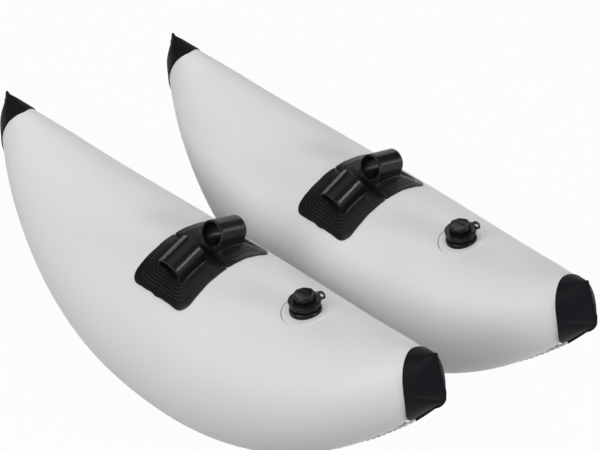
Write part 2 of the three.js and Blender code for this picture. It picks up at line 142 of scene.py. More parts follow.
def held(value):
    """A number or a term held between 0 and 1."""
    return combine("MINIMUM", combine("MAXIMUM", value, 0.0), 1.0)


def operator(operation):
    return lambda *values: combine(operation, *values)


class Term:
    """A number in a node tree."""

    __add__ = operator("ADD")
    __sub__ = operator("SUBTRACT")
    __mul__ = operator("MULTIPLY")
    __truediv__ = operator("DIVIDE")
    __pow__ = operator("POWER")
    __abs__ = operator("ABSOLUTE")

    def __init__(self, tree, source):
        self.tree = tree
        self.socket = source.outputs[0] if isinstance(source, bpy.types.Node) else source

    def __rsub__(self, other):
        return combine("SUBTRACT", other, self)

    def remap(self, low, high, new_low, new_high):
        inputs = {0: self, 1: low, 2: high, 3: new_low, 4: new_high}
        return Term(self.tree, add(self.tree, "ShaderNodeMapRange", inputs))


def split(tree, vector):
    """The x, y and z of a vector as terms."""
    return [Term(tree, socket) for socket in add(tree, "ShaderNodeSeparateXYZ", {0: vector}).outputs]


def scaled(tree, vector, factor):
    return add(tree, "ShaderNodeVectorMath", {0: vector, "Scale": factor}, operation="SCALE")


def linear(hex_colour):
    """An sRGB hex colour as linear RGBA."""
    parts = [int(hex_colour[i : i + 2], 16) / 255 for i in (1, 3, 5)]
    return (*[c / 12.92 if c <= 0.04045 else ((c + 0.055) / 1.055) ** 2.4 for c in parts], 1.0)


def noise(tree, place, scale, detail, rough=0.5):
    inputs = {"Vector": place, "Scale": scale, "Detail": detail, "Roughness": rough}
    return Term(tree, add(tree, "ShaderNodeTexNoise", inputs))


def mix(tree, share, first, second):
    """The second colour over the first by a share. Each is a hex colour or a socket."""
    first, second = (linear(c) if isinstance(c, str) else c for c in (first, second))
    return add(tree, "ShaderNodeMix", {0: share, 6: first, 7: second}, data_type="RGBA").outputs[2]


def bump(tree, height, strength, depth_mm, **under):
    inputs = {"Height": height, "Strength": strength, "Distance": depth_mm * MM, **under}
    return add(tree, "ShaderNodeBump", inputs)


print("mid grey #808080 is", round(linear("#808080")[0], 3), "in linear light")

# %% [markdown]
# ## Grey coated fabric
# The bag is a polyester weave under a soft PVC coating. The coating gives a satin surface with a broad, soft
# highlight. The threads, 1.2 mm apart, print through it very faintly. Handling leaves it a little uneven in
# tone and gloss, and it is greyer in patches towards the bottom. Round the valve a small step shows where the
# flange under the skin ends, and a dark line of painted shade is drawn along it, plainest on the side away
# from the float's end.

# %% Material: PVC-coated fabric, light grey
def new_material(name):
    material = bpy.data.materials.new(name)
    material.use_nodes = True
    material.node_tree.nodes.clear()
    return material, material.node_tree


def surface(tree, colour, rough, **inputs):
    """Close a material's tree with its shader and output."""
    inputs = {"Base Color": colour, "Roughness": rough, **inputs}
    add(tree, "ShaderNodeOutputMaterial", {"Surface": add(tree, "ShaderNodeBsdfPrincipled", inputs)})


THREAD_PITCH = 1.2 * MM
NOISE_SPAN = (0.3, 0.7)
GREYER_BELOW = 0.05
WELD_LINE = 25.0
LINE_FADE = (0.3, 1.0)
PAINTED_SHADE_SIDE = (-14.0, -2.0)
WELD_STEP = (24.4, 25.2)

grey_fabric, tree = new_material("pvc_coated_fabric_light_grey")
place = add(tree, "ShaderNodeTexCoord").outputs["Object"]
weave = {"Vector": add(tree, "ShaderNodeUVMap", uv_map="UVMap"), "Scale": math.pi / 10 / THREAD_PITCH}
warp, weft = (add(tree, "ShaderNodeTexWave", weave, bands_direction=way).outputs["Fac"] for way in "XY")
above_floor = split(tree, place)[2]
valve_range, valve_ahead = (
    Term(tree, add(tree, "ShaderNodeAttribute", attribute_name=name).outputs["Fac"])
    for name in ("valve_range", "valve_ahead")
)
patch_noise = noise(tree, place, 60.0, 5.0, 0.7)
clean = mix(tree, noise(tree, place, 7.0, 3.0, 0.55), "#dddddc", "#e3e3e1")
# Greyer in patches towards the bottom of the float.
greyer_low = mix(tree, above_floor.remap(0.0, GREYER_BELOW, 0.35, 0.0) * patch_noise, clean, "#bdbcb8")
on_line = abs(valve_range - WELD_LINE).remap(*LINE_FADE, 1.0, 0.0)
# A dark line of painted shade along the step of the valve's ring, plainest on the side away from the float's
# end.
colour_with_painted_shade = mix(tree, on_line * valve_ahead.remap(*PAINTED_SHADE_SIDE, 0.85, 0.12), greyer_low, "#6c6c6a")
print_through = bump(tree, Term(tree, warp) * weft, 0.12, 0.04)
peel = bump(tree, noise(tree, place, 260.0, 2.0), 0.15, 0.05, Normal=print_through)
weld_step = bump(tree, valve_range.remap(*WELD_STEP, 1.0, 0.0), 0.8, 0.3, Normal=peel)
surface(tree, colour_with_painted_shade, patch_noise.remap(*NOISE_SPAN, 0.46, 0.56), IOR=1.45, Normal=weld_step)
print("material:", grey_fabric.name)

# %% [markdown]
# ## Black finishes
# The other finishes are all near black but for the weld, and only gloss, grain and painted edge highlights
# tell
# them apart: the end patches are a softer coated fabric, the mounts are moulded soft PVC, the valve is
# semi-gloss ABS, and the seals are matt rubber. One function makes them from a few typical values, each with a
# fine grain, a slow change of tone, and sharp edges painted a little paler as a painted highlight. The index
# of refraction sets how much white light the surface throws back, about 1% to 3%. It is lower than that of
# real plastics, because the white studio would wash out the blacks, and it still leaves the streaks on the
# sleeves.

# %% Materials: black fabric, black mouldings, rubber, grey weld
SLOW_TONE = 0.06
GLOSS_SPREAD = 0.03
HIGHLIGHT_EDGE = (0.52, 0.62)


def moulded(name, deep, highlight_colour, ior, rough, grain_mm, grain_depth_mm, highlight_share=0.5):
    """A dyed plastic or rubber: tone, gloss and grain vary, and sharp edges are painted paler, a painted
    highlight.
    """
    material, tree = new_material(name)
    place = add(tree, "ShaderNodeTexCoord").outputs["Object"]
    tone = noise(tree, place, 25.0, 4.0, 0.6)
    pointed = Term(tree, add(tree, "ShaderNodeNewGeometry").outputs["Pointiness"])
    # Sharp edges, found by pointiness, are painted paler in patches: a painted highlight.
    painted_edge_highlight = pointed.remap(*HIGHLIGHT_EDGE, 0.0, highlight_share) * tone
    share = combine("ADD", painted_edge_highlight, tone * SLOW_TONE, use_clamp=True)
    gloss = tone.remap(*NOISE_SPAN, rough - GLOSS_SPREAD, rough + GLOSS_SPREAD)
    grain = bump(tree, noise(tree, place, 1 / (grain_mm * MM), 3.0), 0.35, grain_depth_mm)
    surface(tree, mix(tree, share, deep, highlight_colour), gloss, IOR=ior, Normal=grain)
    return material


# The second colour of each is the painted highlight on its sharp edges.
black_fabric = moulded("pvc_coated_fabric_black", "#111116", "#202027", 1.18, 0.55, 1.3, 0.05)
black_moulding = moulded("soft_pvc_black_moulded", "#0b0b0d", "#606064", 1.28, 0.29, 1.0, 0.01, 0.6)
black_abs = moulded("abs_black_moulded", "#050506", "#3a3a3f", 1.31, 0.22, 0.6, 0.01, 0.6)
black_rubber = moulded("rubber_black_matt", "#0c0c0c", "#2a2a2a", 1.40, 0.70, 0.8, 0.03)
grey_weld = moulded("pvc_weld_light_grey", "#e6e6e3", "#f0f0ee", 1.45, 0.50, 1.5, 0.06)
print("materials:", [m.name for m in (black_fabric, black_moulding, black_abs, black_rubber, grey_weld)])

# %% [markdown]
# ## The float's form
# A float is cut from two flat banana-shaped sides. Blown up, each cross-section keeps the length of its
# cloth, so a round middle and a flat, welded end follow one rule. All sizes are in millimetres in the float's
# own frame: u runs from -1 to 1 along it, and t is the angle round the section from the crown. The lower
# corner, where the end seam meets the keel, is rounded, as on the real bag.

# %% Sizes of the float and its surface
LENGTH = 638.0
END_LEAN = math.radians(19.3)
FORM = {
    "Length": LENGTH,
    "Depth at Middle": 320.0,
    "Depth at Ends": 51.0,
    "Depth Power": 2.27,
    "Broad Dip": 22.8,
    "Flat Dip": 27.5,
    "Flat Dip Power": 4.0,
    "Flatten Length": 74.4,
    "Flatten Power": 0.392,
    "End Lean": END_LEAN,
}
SKIN = 0.9
STEP = 1e-4
END_FIN = 5.6
KEEL_FIN = 3.8
CORNER_ROUND = 30.0
CORNER_FROM = 0.93


def flat_depth(u, form=FORM):
    """Depth of the flat side."""
    deeper = form["Depth at Middle"] - form["Depth at Ends"]
    return form["Depth at Ends"] + deeper * (1.0 - abs(u) ** form["Depth Power"])


def section(u, t, form):
    """Where the inflated skin lies: x, y and z, for numbers or for terms."""
    end = abs(u)
    bow = u * u
    half_length = form["Length"] * 0.5
    shut = 1.0 - held((1.0 - end) * half_length / form["Flatten Length"])
    roundness = (1.0 - shut * shut) ** form["Flatten Power"]
    root = combine("SQRT", (roundness + 3.0) * (roundness * 3.0 + 1.0))
    half_height = flat_depth(u, form) / math.pi * 2.0 / ((roundness + 1.0) * 3.0 - root)
    dip = form["Broad Dip"] * (1.0 - bow) + form["Flat Dip"] * (1.0 - end ** form["Flat Dip Power"])
    lean = form["End Lean"] * bow * combine("SIGN", u)
    rise = half_height * combine("COSINE", t)
    x = u * half_length - rise * combine("SINE", lean)
    y = half_height * roundness * combine("SINE", t)
    return x, y, rise * combine("COSINE", lean) - (dip + half_height)


def on_skin(u, t):
    """Points of the skin for arrays u and t."""
    u, t = np.broadcast_arrays(np.asarray(u, float), np.asarray(t, float))
    return np.stack(section(u, t, FORM), -1)


def unit(v):
    return v / np.linalg.norm(v, axis=-1, keepdims=True)


def skin_normal(u, t):
    inside = np.clip(u, -1 + 2 * STEP, 1 - 2 * STEP)
    along = on_skin(inside + STEP, t) - on_skin(inside - STEP, t)
    across = on_skin(inside, t + STEP) - on_skin(inside, t - STEP)
    return unit(np.cross(along, across))


def off_skin(u, t, height):
    return on_skin(u, t) + skin_normal(u, t) * np.asarray(height, float)[..., None]


def on_arc(x, arc, height):
    """A point by its place along the float and its distance round the section from the crown."""
    u = 2 * np.asarray(x, float) / LENGTH
    return off_skin(u, np.asarray(arc) * math.pi / flat_depth(u), height)


end_low = on_skin(1.0, math.pi)
end_down = unit(end_low - on_skin(1.0, 0.0))
end_out = np.array([-end_down[2], 0, end_down[0]])
keel_back = unit(on_skin(CORNER_FROM, math.pi) - end_low)
keel_below = np.array([keel_back[2], 0, -keel_back[0]])
keel_below *= np.sign(keel_below @ end_down)
sides = np.array([end_out, keel_below])[:, [0, 2]]
limits = np.array([end_low @ end_out + END_FIN, end_low @ keel_below + KEEL_FIN])
corner_x, corner_z = np.linalg.solve(sides, limits)
fin_corner = np.array([corner_x, 0, corner_z])


def round_corner(points):
    """Round the bag's lower front corner: points in its sector are drawn towards the rounding's centre."""
    points = np.array(points, float)
    centre = np.linalg.solve(sides, limits - CORNER_ROUND)
    away = points[..., [0, 2]] - centre
    parts = away @ np.linalg.inv(sides)
    reach = away @ sides.T / np.maximum(np.linalg.norm(away, axis=-1, keepdims=True), 1e-9)
    pull = np.where((parts > 0).all(-1), reach.max(-1), 1.0)
    rounded = points.copy()
    rounded[..., [0, 2]] = centre + away * pull[..., None]
    return rounded


print("middle section is", round(float(np.ptp(on_skin(0, np.linspace(0, 7, 99))[:, 1])), 1), "mm across")

# %% [markdown]
# ## Where the two floats lie
# The near float stands straight. The far one leans a little, is turned a little and lies further ahead, as
# two loose floats do. Every piece is made once, in the float's own frame, and then laid on both floats.

# %% Places of the floats and the valve
LEAN_YAW_PLACE = {
    "near": (0.0, 0.0, (-18.358, -106.188, 259.018)),
    "far": (5.1, -3.34, (18.624, 91.937, 258.135)),
}
VALVE_PLACE = 158.0
FLANGE_RADIUS = 23.5

float_matrix = {}
for name, (lean, yaw, spot) in LEAN_YAW_PLACE.items():
    turn = Matrix.Rotation(math.radians(yaw), 4, "Z") @ Matrix.Rotation(math.radians(lean), 4, "X")
    float_matrix[name] = Matrix.Translation(Vector(spot) * MM) @ turn
valve_axis = Vector(skin_normal(2 * VALVE_PLACE / LENGTH, 0.0))
valve_foot = Vector(on_arc(VALVE_PLACE, 0.0, 0.0))
valve_turn = Matrix.Rotation(math.atan2(valve_axis.x, valve_axis.z), 4, "Y")
valve_matrix = Matrix.Translation(valve_foot * MM) @ valve_turn
print("valve stands", round(valve_foot.z, 1), "mm from the float's datum")


# %% Helpers: a mesh from points, and a piece laid on both floats
CREASE = 40.0
MERGE = 1e-6
COLLAPSED = 1e-7


def build_mesh(name, parts, crease=CREASE):
    """One mesh from closed parts, each (points in mm, faces), with its normals outwards."""
    mesh = bpy.data.meshes.new(name)
    points = []
    faces = []
    for part_points, part_faces in parts:
        faces += [tuple(i + len(points) for i in face) for face in part_faces]
        points += [tuple(p) for p in np.asarray(part_points) * MM]
    mesh.from_pydata(points, [], faces)
    tidy(mesh, crease)
    return mesh


def tidy(mesh, crease=CREASE):
    work = bmesh.new()
    work.from_mesh(mesh)
    bmesh.ops.remove_doubles(work, verts=work.verts, dist=MERGE)
    bmesh.ops.dissolve_degenerate(work, edges=work.edges, dist=COLLAPSED)
    bmesh.ops.recalc_face_normals(work, faces=work.faces)
    work.to_mesh(mesh)
    work.free()
    mesh.shade_smooth()
    mesh.set_sharp_from_angle(angle=math.radians(crease))


def lay(label, mesh, node, body, slot, material, local=Matrix.Identity(4)):
    """Lay copies of a mesh on both floats, each in the place of its solid."""
    for name in FLOATS:
        copy = mesh.copy()
        copy.transform(float_matrix[name] @ local)
        copy.materials.clear()
        copy.materials.append(material)
        piece = put(f"{name}_{label}", copy)
        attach(piece, body.format(name))
        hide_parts(f"{name}_{node}")
    print(f"{label}: {len(mesh.polygons)} faces on each float")


def loft(rings, ends="strips"):
    """Faces over rings of equal point count. ends: strips, fans or open, or loop to join last and first."""
    rings = np.asarray(rings, float)
    count, size = rings.shape[:2]
    faces = []
    for i in range(count if ends == "loop" else count - 1):
        a, b = i * size, (i + 1) % count * size
        for j in range(size):
            k = (j + 1) % size
            faces.append((a + j, a + k, b + k, b + j))
    if ends == "strips":
        for start in (0, (count - 1) * size):
            for j in range(size // 2):
                faces.append((start + j, start + j + 1, start + (-j - 1) % size, start + (-j) % size))
    if ends == "fans":
        faces.append(tuple(range(size)))
        faces.append(tuple(range((count - 1) * size, count * size)))
    cleaned = [tuple(dict.fromkeys(face)) for face in faces]
    return rings.reshape(-1, 3), [face for face in cleaned if len(face) > 2]


def plain_mesh(obj):
    """The evaluated object as a plain mesh; the object is then removed."""
    bpy.context.view_layer.update()
    mesh = bpy.data.meshes.new_from_object(obj.evaluated_get(bpy.context.evaluated_depsgraph_get()))
    bpy.data.objects.remove(obj)
    return mesh


print("helpers ready")

# %% [markdown]
# ## Air bladder
# This is the main piece, and its form is a rule, so Geometry Nodes build it: a grid is bent round by the
# formula above and its edges are merged. Then it is pushed out along its own normals a little. The push makes
# the small puckers that the keel weld pulls into the cloth, the faint swell of an inflated bag, and the low
# ring where the valve's flange is welded under the skin. Puckers and swell fade out before the flat ends, so
# that the skin never crosses itself there.

# %% Node tree of the bladder
BLADDER_INPUTS = {
    **FORM,
    "Stations": 381,
    "Sides": 221,
    "Reach": 1.0,
    "Inset": 0.0,
    "Pucker Height": 2.2,
    "Pucker Pitch": 10.0,
    "Pucker Reach": 42.0,
    "Stop": 286.0,
    "Stop Fade": 8.0,
    "Swell Height": 0.5,
    "Ring Place": VALVE_PLACE,
    "Ring Radius": FLANGE_RADIUS,
    "Ring Fade": 2.5,
    "Ring Rise": 0.55,
}
CROWDED = 1.5
SHUT = 0.9999


def new_tree(name, sizes):
    """An empty Geometry Nodes tree with a named input for each size, and its inputs as terms."""
    tree = bpy.data.node_groups.new(name, "GeometryNodeTree")
    tree.interface.new_socket("Geometry", in_out="INPUT", socket_type="NodeSocketGeometry")
    tree.interface.new_socket("Geometry", in_out="OUTPUT", socket_type="NodeSocketGeometry")
    for key, value in sizes.items():
        kind = "NodeSocketInt" if isinstance(value, int) else "NodeSocketFloat"
        tree.interface.new_socket(key, in_out="INPUT", socket_type=kind).default_value = value
    tree.interface.new_socket("Material", in_out="INPUT", socket_type="NodeSocketMaterial")
    source = add(tree, "NodeGroupInput")
    return tree, {socket.name: Term(tree, socket) for socket in source.outputs if socket.name}


def store(tree, geometry, name, value, kind="FLOAT", domain="POINT"):
    inputs = {"Geometry": geometry, "Name": name, "Value": value}
    return add(tree, "GeometryNodeStoreNamedAttribute", inputs, data_type=kind, domain=domain)


def stored(tree, name):
    return Term(tree, add(tree, "GeometryNodeInputNamedAttribute", {"Name": name}, data_type="FLOAT"))


def close_tree(tree, geometry, given):
    realized = add(tree, "GeometryNodeRealizeInstances", {0: geometry})
    coloured = add(tree, "GeometryNodeSetMaterial", {"Geometry": realized, "Material": given["Material"]})
    add(tree, "NodeGroupOutput", {0: coloured})


def run_tree(tree, source, material, sizes=None):
    """Put the tree on an object, set its inputs by their identifiers, and return the plain mesh."""
    modifier = source.modifiers.new(tree.name, "NODES")
    modifier.node_group = tree
    chosen = {"Material": material, **(sizes or {})}
    for socket in tree.interface.items_tree:
        if socket.in_out == "INPUT" and socket.name in chosen:
            modifier[socket.identifier] = chosen[socket.name]
    return plain_mesh(source)


def bent_grid(tree, given):
    """A grid bent to the form of the skin, with its rows crowded towards the ends."""
    grid = add(tree, "GeometryNodeMeshGrid", {"Vertices X": given["Stations"], "Vertices Y": given["Sides"]})
    grid_x, grid_y, _ = split(tree, grid.outputs["UV Map"])
    row = grid_x * 2.0 - 1.0
    u = (1.0 - (1.0 - abs(row)) ** CROWDED) * combine("SIGN", row) * given["Reach"]
    t = grid_y * (2 * math.pi)
    x, y, z = section(u, t, given)
    spot = add(tree, "ShaderNodeCombineXYZ", {0: x, 1: y * combine("LESS_THAN", abs(row), SHUT), 2: z})
    station = u * (given["Length"] * 0.5)
    arc_unit = flat_depth(u, given) / math.pi
    keel_turn = abs(t - math.pi)
    side_arc = (math.pi - keel_turn) * arc_unit
    ahead = station - given["Ring Place"]
    cloth_map = add(tree, "ShaderNodeCombineXYZ", {0: station * MM, 1: t * arc_unit * MM})
    mesh = store(tree, grid, "UVMap", cloth_map, "FLOAT2", "CORNER")
    mesh = store(tree, mesh, "keel_arc", keel_turn * arc_unit)
    mesh = store(tree, mesh, "valve_range", combine("SQRT", side_arc * side_arc + ahead * ahead))
    mesh = store(tree, mesh, "valve_ahead", ahead)
    bent = add(tree, "GeometryNodeSetPosition", {"Geometry": mesh, "Position": scaled(tree, spot, MM)})
    return add(tree, "GeometryNodeMergeByDistance", {"Geometry": bent, "Distance": MERGE})


def pushed_out(tree, given, mesh):
    """The skin pushed out along its normals: puckers at the keel, swell, and the ring at the valve."""
    at = add(tree, "GeometryNodeInputPosition")
    x = split(tree, at)[0] * (1 / MM)
    wave = (combine("SINE", x / given["Pucker Pitch"] * (2 * math.pi)) + 1.0) * 0.5
    near_keel = held(1.0 - stored(tree, "keel_arc") / given["Pucker Reach"]) ** 2.0
    kept = held((given["Stop"] - abs(x)) / given["Stop Fade"])
    pucker = wave * near_keel * kept * given["Pucker Height"]
    swell = (noise(tree, at, 9.0, 1.0) - 0.5) * given["Swell Height"] * kept
    ring = held(1.0 - (stored(tree, "valve_range") - given["Ring Radius"]) / given["Ring Fade"])
    push = (pucker + swell + ring * given["Ring Rise"] - given["Inset"]) * MM
    offset = scaled(tree, add(tree, "GeometryNodeInputNormal"), push)
    return add(tree, "GeometryNodeSetPosition", {"Geometry": mesh, "Offset": offset})


bladder_tree, given = new_tree("bladder_form", BLADDER_INPUTS)
close_tree(bladder_tree, pushed_out(bladder_tree, given, bent_grid(bladder_tree, given)), given)
print("bladder tree:", len(bladder_tree.nodes), "nodes")

# %% [markdown]
# The tree is run twice: once for the outside, and once, inset by the cloth's thickness and stopped short of
# the end welds, for the wall of the air space. Then the valve's hole is cut through both, and the lower
# corners are rounded.

# %% Bladder: outside, air space and valve hole
SEAM_STOP = 0.5
CAVITY_STOP = 7.0
HOLE_RADIUS = 13.4
HOLE_DEPTH = 40.0
SKIN_CREASE = 50
HALF_TURN = np.array([-1, -1, 1])


def cut_out(mesh, tool_mesh):
    """The mesh with the tool's space taken out."""
    body, tool = put("body", mesh), put("tool", tool_mesh)
    cut = body.modifiers.new("cut", "BOOLEAN")
    cut.operation = "DIFFERENCE"
    cut.solver = "EXACT"
    cut.object = tool
    result = plain_mesh(body)
    bpy.data.objects.remove(tool)
    return result


def joined(name, meshes):
    """Several meshes as one."""
    work = bmesh.new()
    for mesh in meshes:
        work.from_mesh(mesh)
    whole = bpy.data.meshes.new(name)
    work.to_mesh(whole)
    work.free()
    return whole


outer_sizes = {"Reach": 1 - 2 * SEAM_STOP / LENGTH}
inner_sizes = {"Reach": 1 - 2 * CAVITY_STOP / LENGTH, "Inset": SKIN, "Pucker Height": 0.0}
inner_sizes.update({"Stations": 91, "Sides": 73})
outside = run_tree(bladder_tree, put("outside", bpy.data.meshes.new("outside")), grey_fabric, outer_sizes)
inside = run_tree(bladder_tree, put("inside", bpy.data.meshes.new("inside")), grey_fabric, inner_sizes)
inside.flip_normals()
work = bmesh.new()
hole_radius = HOLE_RADIUS * MM
bmesh.ops.create_cone(
    work, cap_ends=True, segments=64, radius1=hole_radius, radius2=hole_radius, depth=HOLE_DEPTH * MM
)
bmesh.ops.transform(work, matrix=valve_matrix, verts=work.verts)
hole = bpy.data.meshes.new("valve_hole")
work.to_mesh(hole)
work.free()
bladder = cut_out(joined("bladder_shell", [outside, inside]), hole)
places = np.empty(len(bladder.vertices) * 3)
bladder.vertices.foreach_get("co", places)
places = round_corner(places.reshape(-1, 3) / MM)
places = round_corner(places * HALF_TURN) * HALF_TURN * MM
bladder.vertices.foreach_set("co", places.ravel())
bladder.shade_smooth()
bladder.set_sharp_from_angle(angle=math.radians(SKIN_CREASE))
lay("bladder_skin", bladder, "bladder", "floats", "grey_coated_fabric", grey_fabric)

# %% [markdown]
# ## Keel weld
# Along the keel the two sides are welded face to face. The hot bar leaves a flat crimped flange whose free
# edge waves and scallops, because the cloth beside it is drawn in by the air. It follows a path, so a
# Geometry Nodes tree sweeps a small rounded bar along the keel and then waves its underside. As built, the
# bar lies with its broad side across the keel, while the real flange hangs down. The weld runs into the end
# patches, whose length on the skin is worked out here.

# %% Node tree of the keel weld, and the weld
KEEL_DEPTH = 5.0
KEEL_SEAT = 0.2
KEEL_ROOT = 0.3
PATCH_CROWN = 28.0
PATCH_FLANK = 8.0
PATCH_KEEL = 26.0
PATCH_KEEL_POWER = 4
EDGE_SAMPLES = 400
EDGE_SEARCH = 3


def patch_edge(t):
    """Where the end patch stops: its length is measured along the skin from the end seam."""
    toward_keel = ((1 - math.cos(t)) / 2) ** PATCH_KEEL_POWER
    wanted = PATCH_CROWN + PATCH_FLANK * math.sin(t) ** 2 + PATCH_KEEL * toward_keel
    u = 1 - np.linspace(0, 1, EDGE_SAMPLES) * EDGE_SEARCH * wanted / LENGTH
    steps = np.linalg.norm(np.diff(on_skin(u, t), axis=0), axis=1)
    return float(np.interp(wanted, np.concatenate([[0], np.cumsum(steps)]), u))


def section_down(u):
    """The way from crown to keel in the section at u."""
    return unit(on_skin(u, math.pi) - on_skin(u, 0.0))


def curve_object(name, lines, cyclic):
    curve = bpy.data.curves.new(name, "CURVE")
    curve.dimensions = "3D"
    for line in lines:
        spline = curve.splines.new("POLY")
        spline.points.add(len(line) - 1)
        spline.points.foreach_set("co", np.c_[np.asarray(line) * MM, np.ones(len(line))].ravel())
        spline.use_cyclic_u = cyclic
    return put(name, curve)


KEEL_INPUTS = {
    "Depth": KEEL_DEPTH,
    "Thickness": 1.6,
    "Pitch": 10.0,
    "Swing": 1.6,
    "Scallop": 3.6,
    "Deeper": 7.0,
    "Root": KEEL_ROOT,
}
SAMPLES = 10
CORNER_SHARE = 0.35
KEEL_TUCK = 1.0
KEEL_STATIONS = 240


def swept_bar(tree, given):
    """A bar with rounded corners swept along the line, which keeps its run and its middle height."""
    spacing = given["Pitch"] * (MM / SAMPLES)
    steps = {"Curve": given["Geometry"], "Length": spacing}
    line = add(tree, "GeometryNodeResampleCurve", steps, mode="LENGTH")
    line = add(tree, "GeometryNodeSetCurveNormal", {"Curve": line}, mode="Z_UP")
    height = split(tree, add(tree, "GeometryNodeInputPosition"))[2]
    line = store(tree, line, "run", add(tree, "GeometryNodeSplineParameter").outputs["Length"])
    line = store(tree, line, "centre_height", height)
    size = {"Width": given["Depth"] * MM, "Height": given["Thickness"] * MM}
    bar = add(tree, "GeometryNodeCurvePrimitiveQuadrilateral", size)
    corner = given["Thickness"] * (MM * CORNER_SHARE)
    bar = add(tree, "GeometryNodeFilletCurve", {"Curve": bar, "Radius": corner, "Count": 2}, mode="POLY")
    bar = add(tree, "GeometryNodeResampleCurve", {"Curve": bar, "Count": 24})
    return add(tree, "GeometryNodeCurveToMesh", {"Curve": line, "Profile Curve": bar, "Fill Caps": True})


def waved(tree, given, mesh):
    """The underside swings sideways, is drawn up between the crimps, and hangs deeper near the ends."""
    x, _, z = split(tree, add(tree, "GeometryNodeInputPosition"))
    below = stored(tree, "centre_height") - z
    free = held(below / (given["Depth"] * MM) + given["Root"]) / (0.5 + KEEL_ROOT)
    phase = stored(tree, "run") * (1 / MM) / given["Pitch"] * (2 * math.pi)
    side = combine("SINE", phase) * given["Swing"] * free * MM
    drawn_up = (1.0 - combine("COSINE", phase)) * given["Scallop"] * 0.5
    place = x / (LENGTH / 2 * MM)
    edge = (drawn_up - place * place * given["Deeper"]) * free * MM
    offset = add(tree, "ShaderNodeCombineXYZ", {0: 0.0, 1: side, 2: edge})
    return add(tree, "GeometryNodeSetPosition", {"Geometry": mesh, "Offset": offset})


keel_tree, given = new_tree("keel_weld", KEEL_INPUTS)
close_tree(keel_tree, waved(keel_tree, given, swept_bar(keel_tree, given)), given)

keel_end = patch_edge(math.pi) + 2 * KEEL_TUCK / LENGTH
keel_u = np.linspace(-keel_end, keel_end, KEEL_STATIONS)
keel_line = on_skin(keel_u, math.pi) + section_down(keel_u) * (KEEL_DEPTH / 2 - KEEL_SEAT)
keel = run_tree(keel_tree, curve_object("keel_line", [keel_line], False), grey_weld)
tidy(keel, SKIN_CREASE)
lay("keel_weld", keel, "keel_seam", "floats", "grey_weld", grey_weld)

# %% [markdown]
# ## End patches
# A black sheath of coated fabric is glued over each flat end, and its cloth drapes a little over the end
# seam. Beyond the seam and along the keel it is pressed together into a fin with a small ear at the crown and
# a round lower corner. The sheath is a closed loft with a rounded edge where it stops on the skin. The fin is
# a plate with rounded rims and a slightly uneven cut edge.

# %% End patch
PATCH_THICKNESS = 1.1
PATCH_SEAT = 0.3
PATCH_SIDES = 120
PATCH_POWER = 1.7
PATCH_UNDER = 0.1
PATCH_ROWS = 26
PATCH_LAP = 0.5
DRAPE_FROM = 0.42
DRAPE_AHEAD = 3.8
DRAPE_SWELL = 3.0
DRAPE_NARROWS = 0.85
TIP_NARROWS = 0.7
TIP_AHEAD = 0.5
FIN_THICKNESS = 2.0
FIN_KEEL_DEPTH = 4.4
FIN_DEEPENS = 1.4
FIN_TURN = 0.965
FIN_OVERLAP = 0.4
FIN_EAR = 1.2
EAR_RISE = 1.2
FIN_RIPPLE = 0.25
RIPPLE_RUNS = (1.9, 1.1)
FIN_RIM = 0.35

patch_off = PATCH_SEAT + PATCH_THICKNESS
round_t = np.arange(PATCH_SIDES) * 2 * math.pi / PATCH_SIDES
edge_u = np.array([patch_edge(t) for t in round_t])


def off_seam(height, ahead):
    """The end seam pushed out in its own plane, and ahead along the float."""
    out = np.cos(round_t)[:, None] * np.array([-math.sin(END_LEAN), 0, math.cos(END_LEAN)])
    out += np.stack([ahead + 0 * round_t, np.sin(round_t), 0 * round_t], -1)
    return on_skin(1.0, round_t) + out * height


def sheath_ring(share, height):
    return off_skin(1 - (1 - edge_u) * share**PATCH_POWER, round_t, height)


shares = np.linspace(0, 1, PATCH_ROWS)[1:]
rings = [off_seam(PATCH_UNDER, PATCH_LAP)] + [sheath_ring(share, PATCH_UNDER) for share in shares]
for share, height in ((1.0, 0.6), (1.0, 1.0), (0.995, patch_off - 0.12), (0.985, patch_off)):
    rings.append(sheath_ring(share, height))
rings += [sheath_ring(share, patch_off) for share in shares[-2::-1] if share > DRAPE_FROM]
draped = rings[-1]
forward = np.array([math.cos(END_LEAN), 0, math.sin(END_LEAN)])
closing = off_seam(patch_off, 0.0) * [1, DRAPE_NARROWS, 1] + forward * DRAPE_AHEAD
for share in (0.2, 0.4, 0.6, 0.8, 1.0):
    swell = np.sin(round_t)[:, None] * [0, (1 - share) * share * DRAPE_SWELL, 0]
    rings.append(draped * (1 - share) + closing * share + swell)
rings.append(closing * [1, TIP_NARROWS, 1] + forward * TIP_AHEAD)
sheath = loft(round_corner(rings))


def keel_at(u, depth):
    """A point below the keel."""
    return on_skin(u, math.pi) + section_down(u) * depth


def fin_outline():
    """The fin in the plane of the keel, from the ear round the lower corner and back along the keel."""
    top = on_skin(1.0, 0.0)
    points = [top - end_down * patch_off]
    ear = top + end_out * END_FIN - end_down * (patch_off + EAR_RISE)
    for angle in np.linspace(0, math.pi / 2, 6):
        points.append(ear + (end_out * (math.sin(angle) - 1) + end_down * (1 - math.cos(angle))) * FIN_EAR)
    points += list(np.linspace(points[-1], fin_corner, 40)[1:])
    points += list(np.linspace(fin_corner, keel_at(FIN_TURN, FIN_KEEL_DEPTH), 14)[1:])
    stop = patch_edge(math.pi)
    share = np.arange(1, 25) / 24
    points += [keel_at(FIN_TURN - (FIN_TURN - stop) * k, FIN_KEEL_DEPTH + FIN_DEEPENS * k) for k in share]
    points += [keel_at(1 - (1 - stop) * k, FIN_OVERLAP) for k in share[::-1]] + [keel_at(1.0, FIN_OVERLAP)]
    points = round_corner(points)
    run = np.linalg.norm(points - points[0], axis=1)
    slow, fast = RIPPLE_RUNS
    ripple = FIN_RIPPLE * (np.sin(run / slow) + 0.7 * np.sin(run / fast + 1)) - FIN_RIPPLE
    reach = np.clip((points - top) @ end_out / END_FIN, 0, 1)
    return points + (ripple * reach**3)[:, None] * end_out


